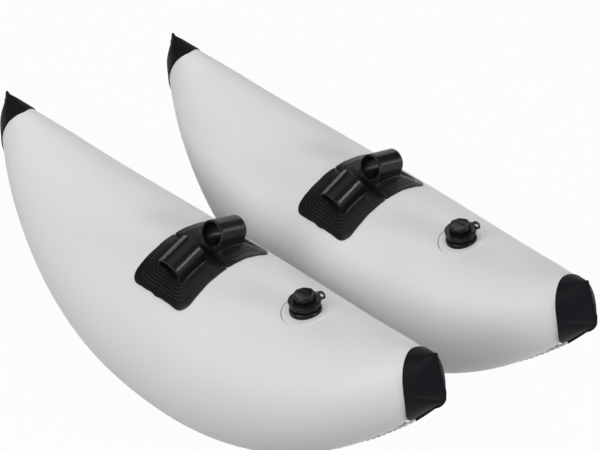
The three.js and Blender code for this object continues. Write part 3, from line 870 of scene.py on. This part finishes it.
def plate(outline, thickness, rim):
    """A flat plate in the XZ plane with rounded rims."""
    step = np.roll(outline, -1, 0) - np.roll(outline, 1, 0)
    inward = np.stack([step[:, 2], 0 * step[:, 0], -step[:, 0]], -1)
    inward /= np.maximum(np.linalg.norm(inward, axis=1, keepdims=True), 1e-9)
    middle = outline.mean(0)
    if ((outline + inward - middle) ** 2).sum() > ((outline - middle) ** 2).sum():
        inward = -inward
    levels = [(-1, 1.0), (-1 + rim, 0.3), (-1 + 2 * rim, 0.0), (1 - 2 * rim, 0.0), (1 - rim, 0.3), (1, 1.0)]
    half = thickness / 2
    stack = [outline + inward * shrink * rim * half + [0, y * half, 0] for y, shrink in levels]
    return loft(stack, "fans")


patch = build_mesh("end_patch", [sheath, plate(fin_outline(), FIN_THICKNESS, FIN_RIM)])
half_turn = Matrix.Rotation(math.pi, 4, "Z")
lay("front_end_sheath", patch, "front_end_patch", "floats", "black_coated_fabric", black_fabric)
lay("rear_end_sheath", patch, "rear_end_patch", "floats", "black_coated_fabric", black_fabric, half_turn)

# %% [markdown]
# ## Mounts
# Two soft PVC mouldings straddle the crown, one on each flank. Each is a plate that is wrapped on the skin,
# with low steps and five raised ribs that run round it, and a sleeve for the arm's tube on a saddle. The
# plate is a stack of rounded rectangles, drawn flat and then wrapped. Its hand-trimmed edge waves a little.

# %% Mount plate
MOUNT_CENTRE = 4.2
MOUNT_SIDEWAYS = -3.0
MOUNT_LENGTH = 82.0
MOUNT_REACH = 67.5
MOUNT_SPLIT = 0.8
OUTER_CORNER = 12.0
CROWN_CORNER = 2.2
CORNER_SHRINKS = 0.3
CORNER_LEAST = 5.5
CROWN_GROWS = 0.12
CROWN_SHARE = 0.45
PLATE_MIDDLE = 31.4
MOUNT_PLATE = 2.0
MOUNT_BORDER = 8.6
RIB_PITCH = 3.35
RIB_RISE = 0.45
RIB_COUNT = 5
EDGE_WAVE = 0.45
EDGE_WAVES = (9, 16)
UNDER_INSETS = (PLATE_MIDDLE, 26, 20, 14, 8, 3)
TOP_INSETS = (26, 29, PLATE_MIDDLE)
RIB_FOOT = 0.8
RIB_HEAD = 0.5
RUN_STEPS = 14
CORNER_STEPS = 8


def plate_outline(inset, wave=0.0):
    """Flat outline of the plate as (x, arc), from the middle of the outer edge round to it again."""
    low, high = -MOUNT_LENGTH / 2 + inset, MOUNT_LENGTH / 2 - inset
    crown, outer = MOUNT_SPLIT / 2 + inset * CROWN_SHARE, MOUNT_REACH - inset
    big = max(OUTER_CORNER - CORNER_SHRINKS * inset, CORNER_LEAST)
    small = CROWN_CORNER + CROWN_GROWS * inset
    corners = [
        (low + big, outer - big, big, math.pi / 2),
        (low + small, crown + small, small, math.pi),
        (high - small, crown + small, small, 3 * math.pi / 2),
        (high - big, outer - big, big, 0.0),
    ]
    points = [(0.0, outer)]
    for x, arc, radius, start in corners:
        bend = start + np.linspace(0, math.pi / 2, CORNER_STEPS)
        turned = [(x + radius * math.cos(a), arc + radius * math.sin(a)) for a in bend]
        points += list(np.linspace(points[-1], turned[0], RUN_STEPS)[1:-1]) + turned
    points += list(np.linspace(points[-1], points[0], RUN_STEPS)[1:-1])
    points = np.array(points)
    angle = np.arctan2(points[:, 1] - MOUNT_REACH / 2, points[:, 0])
    slow, fast = EDGE_WAVES
    ripple = wave * (np.sin(slow * angle) + 0.6 * np.sin(fast * angle + 1) - 1) / 2
    return points * (1 + ripple / np.linalg.norm(points - [0, MOUNT_REACH / 2], axis=1))[:, None]


def plate_ring(inset, height, side, wave=0.0):
    flat = plate_outline(inset, wave)
    return on_arc(MOUNT_CENTRE + flat[:, 0], MOUNT_SIDEWAYS + side * flat[:, 1], height)


def mount_plate(side):
    rings = [plate_ring(inset, 0.1, side) for inset in UNDER_INSETS]
    edge = [(0.3, 0.1), (0.0, 0.5), (0.0, MOUNT_PLATE - 0.8), (0.25, MOUNT_PLATE - 0.25), (0.8, MOUNT_PLATE)]
    rings += [plate_ring(inset, height, side, EDGE_WAVE) for inset, height in edge]
    for i in range(RIB_COUNT):
        inset = MOUNT_BORDER + i * RIB_PITCH
        level = MOUNT_PLATE + i * RIB_RISE
        rings.append(plate_ring(inset - RIB_FOOT, level, side))
        rings.append(plate_ring(inset + RIB_HEAD, level + RIB_RISE, side))
    top = MOUNT_PLATE + RIB_COUNT * RIB_RISE
    rings += [plate_ring(inset, top, side) for inset in TOP_INSETS]
    return loft(rings)


print("mount plate:", len(mount_plate(1)[1]), "faces")

# %% [markdown]
# The ribs follow paths round the plate, so Geometry Nodes sweep a fine bead along each. The sleeve is a
# straight extrusion whose outline is a round barrel on a saddle. Where it meets the plate, rays are cast
# down on the plate, so that a small fillet can follow it.

# %% Node tree of the ribs, and the sleeve
rib_tree, given = new_tree("mount_ribs", {"Bead Radius": 0.5, "Bead Sides": 8})
circle = {"Resolution": given["Bead Sides"], "Radius": given["Bead Radius"] * MM}
bead = add(rib_tree, "GeometryNodeCurvePrimitiveCircle", circle)
ribs = add(rib_tree, "GeometryNodeCurveToMesh", {"Curve": given["Geometry"], "Profile Curve": bead})
close_tree(rib_tree, ribs, given)

SLEEVE_BORE = 12.7
SLEEVE_WALL = 2.3
SLEEVE_LENGTH = 37.0
SLEEVE_ARC = 26.0
SLEEVE_AHEAD = 4.5
SLEEVE_HEIGHT = 15.2
SLEEVE_TILT = math.radians(19.5)
SADDLE_DRAFT = 0.6
SADDLE_SUNK = 0.8
LIP = 0.45
FLARE = ((2.2, 0.05), (1.2, -0.25), (0.5, -0.8), (0.12, -1.5), (0.0, -2.2))
FLARE_HEIGHT = 2.2
FOOT_ANGLE = math.radians(-52)
UNDER_STEPS = 15
MOUNT_CREASE = 35
NO_HIT = 20.0
CROWN_U = (-0.3, 0.75, 120)
CROWN_T = (-1.2, 1.2, 90)
BEAD_PROUD = 0.12
BEAD_STEP_SHARE = 0.6


def tree_of(part):
    points, faces = part
    return BVHTree.FromPolygons([tuple(p) for p in points], faces)


crown_u, crown_t = np.meshgrid(np.linspace(*CROWN_U), np.linspace(*CROWN_T), indexing="ij")
crown_skin = tree_of(loft(on_skin(crown_u, crown_t), "open"))


def mount_sleeve(side, top_plate):
    """The sleeve: an outline of barrel and saddle carried along its axis, and back inside the bore."""
    middle = on_arc(MOUNT_CENTRE + SLEEVE_AHEAD, MOUNT_SIDEWAYS + side * SLEEVE_ARC, SLEEVE_HEIGHT)
    away = np.array([0, side * math.cos(SLEEVE_TILT), -math.sin(SLEEVE_TILT)])
    up = np.array([0, side * math.sin(SLEEVE_TILT), math.cos(SLEEVE_TILT)])
    outer_radius = SLEEVE_BORE + SLEEVE_WALL
    wall = outer_radius - SADDLE_DRAFT
    start = -math.acos(wall / outer_radius)
    arc = np.linspace(start, math.pi - start, 60)

    def drop(tree, a, x):
        """How far below the sleeve's axis a surface lies."""
        origin = middle + away * a + np.array([x, 0, 0])
        hit = tree.ray_cast(Vector(origin), Vector(-up))
        return hit[3] if hit[0] is not None else NO_HIT

    def foot(a, shrink, way):
        """One side of the saddle, from the fillet on the plate up to the barrel."""
        plate_drop = drop(top_plate, a, way * (wall + 1))
        barrel = outer_radius * math.sin(start)
        points = [(wall - shrink + dx, -(plate_drop + dv)) for dx, dv in FLARE]
        points += [(wall - shrink, -(plate_drop - FLARE_HEIGHT) * k + barrel * (1 - k)) for k in (0.66, 0.33)]
        return [(way * x, v) for x, v in points]

    def outline(a, shrink):
        """Points (x, v), anticlockwise from the right foot."""
        top = [((outer_radius - shrink) * math.cos(b), (outer_radius - shrink) * math.sin(b)) for b in arc]
        under = np.linspace(-wall - FLARE_HEIGHT, wall + FLARE_HEIGHT, UNDER_STEPS)
        under = [(x, -drop(crown_skin, a, x) + SADDLE_SUNK) for x in under]
        return np.array(foot(a, shrink, 1) + top + foot(a, shrink, -1)[::-1] + under)

    def ring(points, a):
        return middle + away * a + points[:, :1] * [1, 0, 0] + points[:, 1:] * up

    half = SLEEVE_LENGTH / 2
    stops = [(-half, LIP), (-half + 0.15, 0.18), (-half + LIP, 0.0)]
    stops += [(a, 0.0) for a in np.linspace(-half + 3, half - 3, 12)]
    stops += [(half - LIP, 0.0), (half - 0.15, 0.18), (half, LIP)]
    rings = [ring(outline(a, shrink), a) for a, shrink in stops]
    foot_steps = len(FLARE) + 3
    angles = np.concatenate([
        np.linspace(FOOT_ANGLE, start, foot_steps)[:-1],
        arc,
        np.linspace(math.pi - start, math.pi - FOOT_ANGLE, foot_steps)[1:],
        np.linspace(math.pi - FOOT_ANGLE, 2 * math.pi + FOOT_ANGLE, UNDER_STEPS + 2)[1:-1],
    ])
    circle = np.stack([np.cos(angles), np.sin(angles)], -1)
    rings += [ring(circle * (SLEEVE_BORE + grow), a) for a, grow in reversed(stops)]
    return loft(rings, "loop")


def mount_ribs(side):
    lines = []
    for i in range(RIB_COUNT):
        inset = MOUNT_BORDER + i * RIB_PITCH
        level = MOUNT_PLATE + (i + BEAD_STEP_SHARE) * RIB_RISE
        lines.append(plate_ring(inset, level + BEAD_PROUD, side))
    return run_tree(rib_tree, curve_object("rib_lines", lines, True), black_moulding)


for word, side in (("left", -1), ("right", 1)):
    body_plate = mount_plate(side)
    mount = build_mesh(f"{word}_mount", [body_plate, mount_sleeve(side, tree_of(body_plate))], MOUNT_CREASE)
    mount = joined(f"{word}_mount_ribbed", [mount, mount_ribs(side)])
    tidy(mount, MOUNT_CREASE)
    lay(f"{word}_mount_moulding", mount, f"{word}_mount", "floats", "black_moulding", black_moulding)

# %% [markdown]
# ## Valve
# The valve is a stack of turned pieces about one axis: a collar that is welded through the skin, a gasket, an
# insert with a lobed grip, a flap under its seat, a tether, a seal and a cap. Each is a closed profile
# carried round the axis, with small radii on every edge. Grips wave in and out, and threads climb.

# %% Turned pieces
TURN_STEPS = 144
VALVE_GAP = 0.2
ABOVE_SKIN = 20.0
PLASTIC = ("black_plastic", black_abs)
RUBBER = ("black_rubber", black_rubber)
turn_angles = np.arange(TURN_STEPS) * 2 * math.pi / TURN_STEPS


def turned_ring(radius, height):
    """radius and height are numbers, or arrays with one value for each angle."""
    radius, height, _ = np.broadcast_arrays(radius, height, turn_angles)
    return np.stack([radius * np.cos(turn_angles), radius * np.sin(turn_angles), height], -1)


def turned_part(profile, ends="loop"):
    return loft([turned_ring(radius, height) for radius, height in profile], ends)


def raised(level, *steps):
    """Profile points (radius, height) whose heights count from a level."""
    return [(radius, level + height) for radius, height in steps]


valve_inverse = valve_matrix.inverted()


def skin_under_valve(radius):
    """Height of the skin in the valve's frame, for each angle at a radius."""
    heights = []
    for x, y, z in turned_ring(radius, ABOVE_SKIN):
        origin = (valve_matrix @ (Vector((x, y, z)) * MM)) / MM
        hit = crown_skin.ray_cast(origin, -valve_axis)
        heights.append((valve_inverse @ (hit[0] * MM)).z / MM if hit[0] is not None else 0.0)
    return np.array(heights)


def lobed(radius, lobes, depth):
    return radius - depth * (1 - np.cos(lobes * turn_angles)) / 2


def bevelled(width, height, bevel):
    """Section of a bar with bevelled edges, about its middle."""
    x, y = width / 2, height / 2
    low = [(-x, bevel - y), (bevel - x, -y), (x - bevel, -y), (x, bevel - y)]
    return low + [(-a, -b) for a, b in low]


print("skin falls", round(float(-skin_under_valve(16.0).min()), 2), "mm under the collar's rim")

# %% Valve collar, gasket and flap
BASE_RADIUS = 16.2
BASE_HEIGHT = 4.4
BASE_BORE = 10.2
NECK_RADIUS = 13.1
FLANGE_THICKNESS = 1.2
GASKET_RADIUS = 11.7
GASKET_HALF = (1.6, 0.6)
RING_CREASE = 70
INSERT_HEIGHT = 4.8
SPIGOT_LENGTH = 9.5
SPIDER = 1.5
FLAP_TRAVEL = 2.5

rim = skin_under_valve(BASE_RADIUS)
neck = skin_under_valve(NECK_RADIUS)
wide = skin_under_valve(FLANGE_RADIUS)
under = SKIN + 0.3
profile = [(BASE_BORE, -under - FLANGE_THICKNESS)]
profile += raised(BASE_HEIGHT, (BASE_BORE, -0.6), (BASE_BORE + 0.5, 0), (BASE_RADIUS - 1.8, 0))
profile += raised(BASE_HEIGHT, (BASE_RADIUS - 1.3, -0.12), (BASE_RADIUS - 0.25, -0.9), (BASE_RADIUS, -1.4))
profile += raised(rim, (BASE_RADIUS, 1.4), (BASE_RADIUS + 0.25, 0.7), (BASE_RADIUS + 0.3, 0.3))
profile += [(NECK_RADIUS, neck + 0.3), (NECK_RADIUS, neck - under), (FLANGE_RADIUS, wide - under)]
profile += [(FLANGE_RADIUS, wide - under - FLANGE_THICKNESS), (NECK_RADIUS, neck - under - FLANGE_THICKNESS)]
collar = build_mesh("valve_collar", [turned_part(profile)])
lay("valve_collar", collar, "valve_base", "floats", *PLASTIC, valve_matrix)

gasket_low = BASE_HEIGHT + VALVE_GAP
wide_half, high_half = GASKET_HALF
ring_angles = np.linspace(0, 2 * math.pi, 17)[:-1]
profile = [
    (GASKET_RADIUS + wide_half * math.cos(a), gasket_low + high_half + high_half * math.sin(a))
    for a in ring_angles
]
gasket = build_mesh("valve_ring", [turned_part(profile)], RING_CREASE)
lay("valve_ring_seal", gasket, "valve_gasket", "{}_gasket", *RUBBER, valve_matrix)

insert_low = gasket_low + 2 * high_half + VALVE_GAP
insert_top = insert_low + INSERT_HEIGHT
spigot_low = insert_low - SPIGOT_LENGTH
flap_top = spigot_low - VALVE_GAP
barb_low = spigot_low + SPIDER + FLAP_TRAVEL + VALVE_GAP
profile = raised(flap_top, (0.01, -1.0), (6.8, -1.0), (7.2, -0.7), (7.2, -0.15), (7.0, 0))
profile += raised(flap_top, (1.3, 0), (1.1, 0.2))
profile += raised(barb_low, (1.1, 0), (1.9, 0), (1.8, 0.35), (1.1, 1.3), (0.01, 1.4))
flap = build_mesh("valve_mushroom", [turned_part(profile, "fans")])
lay("valve_mushroom_flap", flap, "valve_flap", "{}_flap", *RUBBER, valve_matrix)

# %% Valve insert with its grip, threads, port and spider
THREAD_CLIMB = 3.0
PORT_RADIUS = 7.9
PORT_BORE = 6.0
PORT_HEIGHT = 6.1
SPOKE_WIDTH = 1.8
SPOKE_BEVEL = 0.25
SPOKE_RUN = (2.0, 4.0, 6.3)
LOBES = 8
port_top = insert_top + PORT_HEIGHT


def thread(crest, depth, low, high, count):
    """Profile points up a screw thread, which climbs one pitch for each turn."""
    points = []
    for z in np.linspace(low, high, count):
        phase = z / THREAD_CLIMB - turn_angles / (2 * math.pi)
        points.append((crest - depth * (0.5 - 0.5 * np.cos(2 * math.pi * phase)) ** 1.5, z))
    return points


grip = lobed(15.6, LOBES, 0.9)
profile = raised(spigot_low, (5.6, 0.2), (5.9, 0), (9.3, 0), (9.7, 0.4))
profile += thread(9.9, 0.7, spigot_low + 0.8, insert_low - 0.8, 26)
profile += raised(insert_low, (9.4, 0), (grip - 0.5, 0), (grip - 0.1, 0.2), (grip, 0.6), (grip, 2.1))
profile += raised(insert_low, (grip - 0.35, 2.4), (grip - 0.35, 2.7), (grip, 3.0))
profile += raised(insert_top, (grip, -0.9), (grip - 0.25, -0.3), (grip - 0.8, -0.02), (8.6, 0), (8.0, 0.15))
profile += thread(PORT_RADIUS, 0.5, insert_top + 0.5, port_top - 0.6, 14)
profile += raised(port_top, (7.6, -0.15), (7.3, 0), (6.3, 0), (PORT_BORE, -0.3))
profile += raised(insert_top, (PORT_BORE, -1.5), (7.7, -1.5)) + raised(spigot_low, (7.7, 1.5), (5.6, 1.5))
hub = raised(spigot_low, (1.3, 0), (2.4, 0), (2.6, 0.2), (2.6, 1.3), (2.4, 1.5), (1.3, 1.5))
spoke = bevelled(SPOKE_WIDTH, SPIDER, SPOKE_BEVEL)
spider_middle = spigot_low + SPIDER / 2
spokes = []
for i in range(3):
    angle = 2 * math.pi * i / 3
    way = np.array([math.cos(angle), math.sin(angle), 0])
    side_way = np.array([-way[1], way[0], 0])
    bars = [[way * r + side_way * s + [0, 0, spider_middle + h] for s, h in spoke] for r in SPOKE_RUN]
    spokes.append(loft(bars, "fans"))
insert = build_mesh("valve_insert_body", [turned_part(profile), turned_part(hub), *spokes])
lay("valve_screw_insert", insert, "valve_insert", "{}_insert", *PLASTIC, valve_matrix)

# %% [markdown]
# The cap has a lobed rim, a shallow dish in its top and a slot for a coin, which is cut out of the dish. Its
# seal is a flat ring that is pressed on the port.

# %% Cap seal and cap
TETHER_THICKNESS = 1.3
CAP_HEIGHT = 7.0
CAP_RADIUS = 11.3
SLOT_LENGTH = 12.5
SLOT_WIDTH = 3.4
SLOT_DEPTH = 1.1
CAP_CREASE = 45
tether_low = insert_top + VALVE_GAP
cap_low = tether_low + TETHER_THICKNESS + VALVE_GAP
cap_top = cap_low + CAP_HEIGHT
seal_low = port_top + VALVE_GAP
profile = raised(seal_low, (5.3, 0.15), (5.5, 0), (7.7, 0), (7.9, 0.15), (7.9, 0.65), (7.7, 0.8))
profile += raised(seal_low, (5.5, 0.8), (5.3, 0.65))
seal = build_mesh("cap_disc", [turned_part(profile)], RING_CREASE)
lay("cap_seal_ring", seal, "cap_seal", "{}_seal", *RUBBER, valve_matrix)

grip = lobed(CAP_RADIUS, LOBES, 0.6)
profile = raised(cap_top, (0.01, -1.5), (8.0, -1.5), (8.2, -1.7))
profile += raised(cap_low, (8.2, 0.3), (8.45, 0), (grip - 0.4, 0), (grip - 0.1, 0.15), (grip, 0.45))
profile += raised(cap_top, (grip, -1.5), (grip - 0.15, -0.9), (grip - 0.5, -0.35), (grip - 1.1, -0.06))
profile += raised(cap_top, (9.2, 0), (8.9, -0.08), (8.6, -0.3), (8.3, -0.35), (0.01, -0.35))
cap = build_mesh("valve_lid", [turned_part(profile, "fans")], CAP_CREASE)
slot_rings = []
for height, grow in ((-SLOT_DEPTH, -0.2), (-SLOT_DEPTH + 0.3, 0.0), (-0.5, 0.0), (0.5, 0.9)):
    x, y = SLOT_LENGTH / 2 + grow, SLOT_WIDTH / 2 + grow
    slot_rings.append([(x * a, y * b, cap_top + height) for a, b in ((1, 1), (-1, 1), (-1, -1), (1, -1))])
cap = cut_out(cap, build_mesh("coin_slot", [loft(slot_rings, "fans")]))
tidy(cap, CAP_CREASE)
lay("valve_screw_cap", cap, "valve_cap", "{}_cap", *PLASTIC, valve_matrix)

# %% [markdown]
# The tether is one moulding: a flat ring under the cap, and a strap that loops out and up to the cap's rim.
# The strap follows a smooth curve, so its flat section is carried along points of that curve.

# %% Tether
TETHER_RADIUS = 16.6
TETHER_WIDTH = 4.2
TETHER_REACH = 20.4
TETHER_RISE = 8.2
TETHER_AZIMUTH = math.radians(46)
STRAP_BEVEL = 0.3
half = TETHER_THICKNESS / 2
start_height = tether_low + half
outer = TETHER_REACH - half
cap_edge = CAP_RADIUS + VALVE_GAP
route = [
    (TETHER_RADIUS - TETHER_WIDTH / 2, start_height),
    (outer - half, start_height + TETHER_RISE * 0.16),
    (outer, start_height + TETHER_RISE * 0.52),
    ((outer + cap_edge) / 2 + half, start_height + TETHER_RISE - half),
    (cap_edge + 0.1, cap_top - 0.8 - half),
]


def smooth_route(points, steps):
    """A Catmull-Rom curve through the points."""
    points = np.array(points)
    padded = np.vstack([2 * points[0] - points[1], points, 2 * points[-1] - points[-2]])
    found = []
    for p0, p1, p2, p3 in zip(padded, padded[1:], padded[2:], padded[3:]):
        square, cube = 2 * p0 - 5 * p1 + 4 * p2 - p3, 3 * p1 - p0 - 3 * p2 + p3
        for k in np.linspace(0, 1, steps, endpoint=False):
            found.append(0.5 * (2 * p1 + (p2 - p0) * k + square * k**2 + cube * k**3))
    return np.array([*found, points[-1]])


strap_line = smooth_route(route, 10)
direction = unit(np.gradient(strap_line, axis=0))
strap = bevelled(TETHER_WIDTH, TETHER_THICKNESS, STRAP_BEVEL)
strap_rings = [
    [(r - dz * n, s, z + dr * n) for s, n in strap]
    for (r, z), (dr, dz) in zip(strap_line, direction)
]
rim_in = TETHER_RADIUS - 0.3
profile = raised(tether_low, (8.1, 0.2), (8.3, 0), (rim_in, 0), (TETHER_RADIUS, 0.3), (TETHER_RADIUS, 1.0))
profile += raised(tether_low, (rim_in, 1.3), (8.3, 1.3), (8.1, 1.1))
tether = build_mesh("cap_strap", [turned_part(profile), loft(strap_rings, "fans")])
tether.transform(Matrix.Rotation(TETHER_AZIMUTH, 4, "Z"))
lay("cap_strap", tether, "cap_tether", "{}_insert", *PLASTIC, valve_matrix)

# %% [markdown]
# ## Floor and light
# The floats lie in a white studio. What the camera sees behind them, and what glossy black reflects low down,
# is plain white, while for soft light the floor is mid grey and the walls are nearly dark, so that the lamps
# alone shape the floats. The key stands beside them and a large soft one above. A weak fill stands by the
# camera, and another soft one behind. Three narrow bars, ahead, to the right and behind, draw the streaks on
# the black sleeves and valves.

# %% Floor, backdrop and lamps
WHITE = linear("#ffffff")
FLOOR_SIZE = 8
FLOOR_SEEN = 0.97
AMBIENT = 0.04
LOW_WALL = (0.15, 0.40)


def seen_rays(tree):
    """1 for the rays that show a surface as it is: from the camera, off gloss, or through glass."""
    rays = add(tree, "ShaderNodeLightPath").outputs
    glossy = combine("MAXIMUM", Term(tree, rays["Is Camera Ray"]), rays["Is Glossy Ray"])
    return combine("MAXIMUM", glossy, rays["Is Transmission Ray"])


floor_material, tree = new_material("studio_floor_white")
lit = add(tree, "ShaderNodeBsdfPrincipled", {"Base Color": linear("#8c8c8c"), "Roughness": 0.9})
white = add(tree, "ShaderNodeEmission", {"Color": WHITE, "Strength": 1.0})
mixed = add(tree, "ShaderNodeMixShader", {0: seen_rays(tree) * FLOOR_SEEN, 1: lit, 2: white})
add(tree, "ShaderNodeOutputMaterial", {"Surface": mixed})
bpy.ops.mesh.primitive_plane_add(size=FLOOR_SIZE)
floor = bpy.context.object
floor.name = "floor"
floor.data.materials.append(floor_material)
floor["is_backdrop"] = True

world = bpy.data.worlds.new("studio")
scene.world = world
world.use_nodes = True
tree = world.node_tree
tree.nodes.clear()
ambient = add(tree, "ShaderNodeBackground", {"Color": WHITE, "Strength": AMBIENT})
backdrop = add(tree, "ShaderNodeBackground", {"Color": WHITE, "Strength": 1.0})
way_up = split(tree, add(tree, "ShaderNodeTexCoord").outputs["Generated"])[2]
low_wall = way_up.remap(*LOW_WALL, 1.0, 0.0)
camera_ray = add(tree, "ShaderNodeLightPath").outputs["Is Camera Ray"]
seen = combine("MAXIMUM", seen_rays(tree) * low_wall, camera_ray)
chosen = add(tree, "ShaderNodeMixShader", {0: seen, 1: ambient, 2: backdrop})
add(tree, "ShaderNodeOutputWorld", {"Surface": chosen})

MIDDLE = (0.0, 0.0, 0.15)
CROWN = (0.0, 0.0, 0.26)
LAMPS = {
    "key_beside": ((0.0, -1.93, 1.40), MIDDLE, 1.4, 1.4, 31.0),
    "fill_by_camera": ((0.56, -2.09, 0.94), MIDDLE, 1.2, 0.8, 3.0),
    "soft_above": ((0.0, 0.0, 2.45), MIDDLE, 2.6, 2.6, 22.0),
    "soft_behind": ((-1.06, 1.69, 1.30), MIDDLE, 1.2, 1.2, 6.5),
    "bar_ahead": ((1.75, 0.37, 0.70), (0.0, -0.05, 0.26), 0.7, 0.14, 17.0),
    "bar_right": ((0.96, 1.54, 0.57), CROWN, 0.6, 0.12, 3.5),
    "bar_behind": ((-1.78, 0.50, 0.78), CROWN, 0.8, 0.14, 3.5),
}
for name, (place, target, width, height, watts) in LAMPS.items():
    lamp = bpy.data.lights.new(name, "AREA")
    lamp.shape = "RECTANGLE"
    lamp.size, lamp.size_y = width, height
    lamp.energy = watts
    lamp_object = put(name, lamp)
    lamp_object.location = place
    lamp_object.rotation_euler = (Vector(target) - Vector(place)).to_track_quat("-Z", "Y").to_euler()
print("lamps:", list(LAMPS))

# %% [markdown]
# ## Finish
# The last cell measures the dressed object against the imported solids.

# %% Measure and finish
dressed_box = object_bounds()
for label, (low, high) in (("solids", cad_box), ("dressed", dressed_box)):
    print(label, "measure", [round(v, 4) for v in high - low], "m")
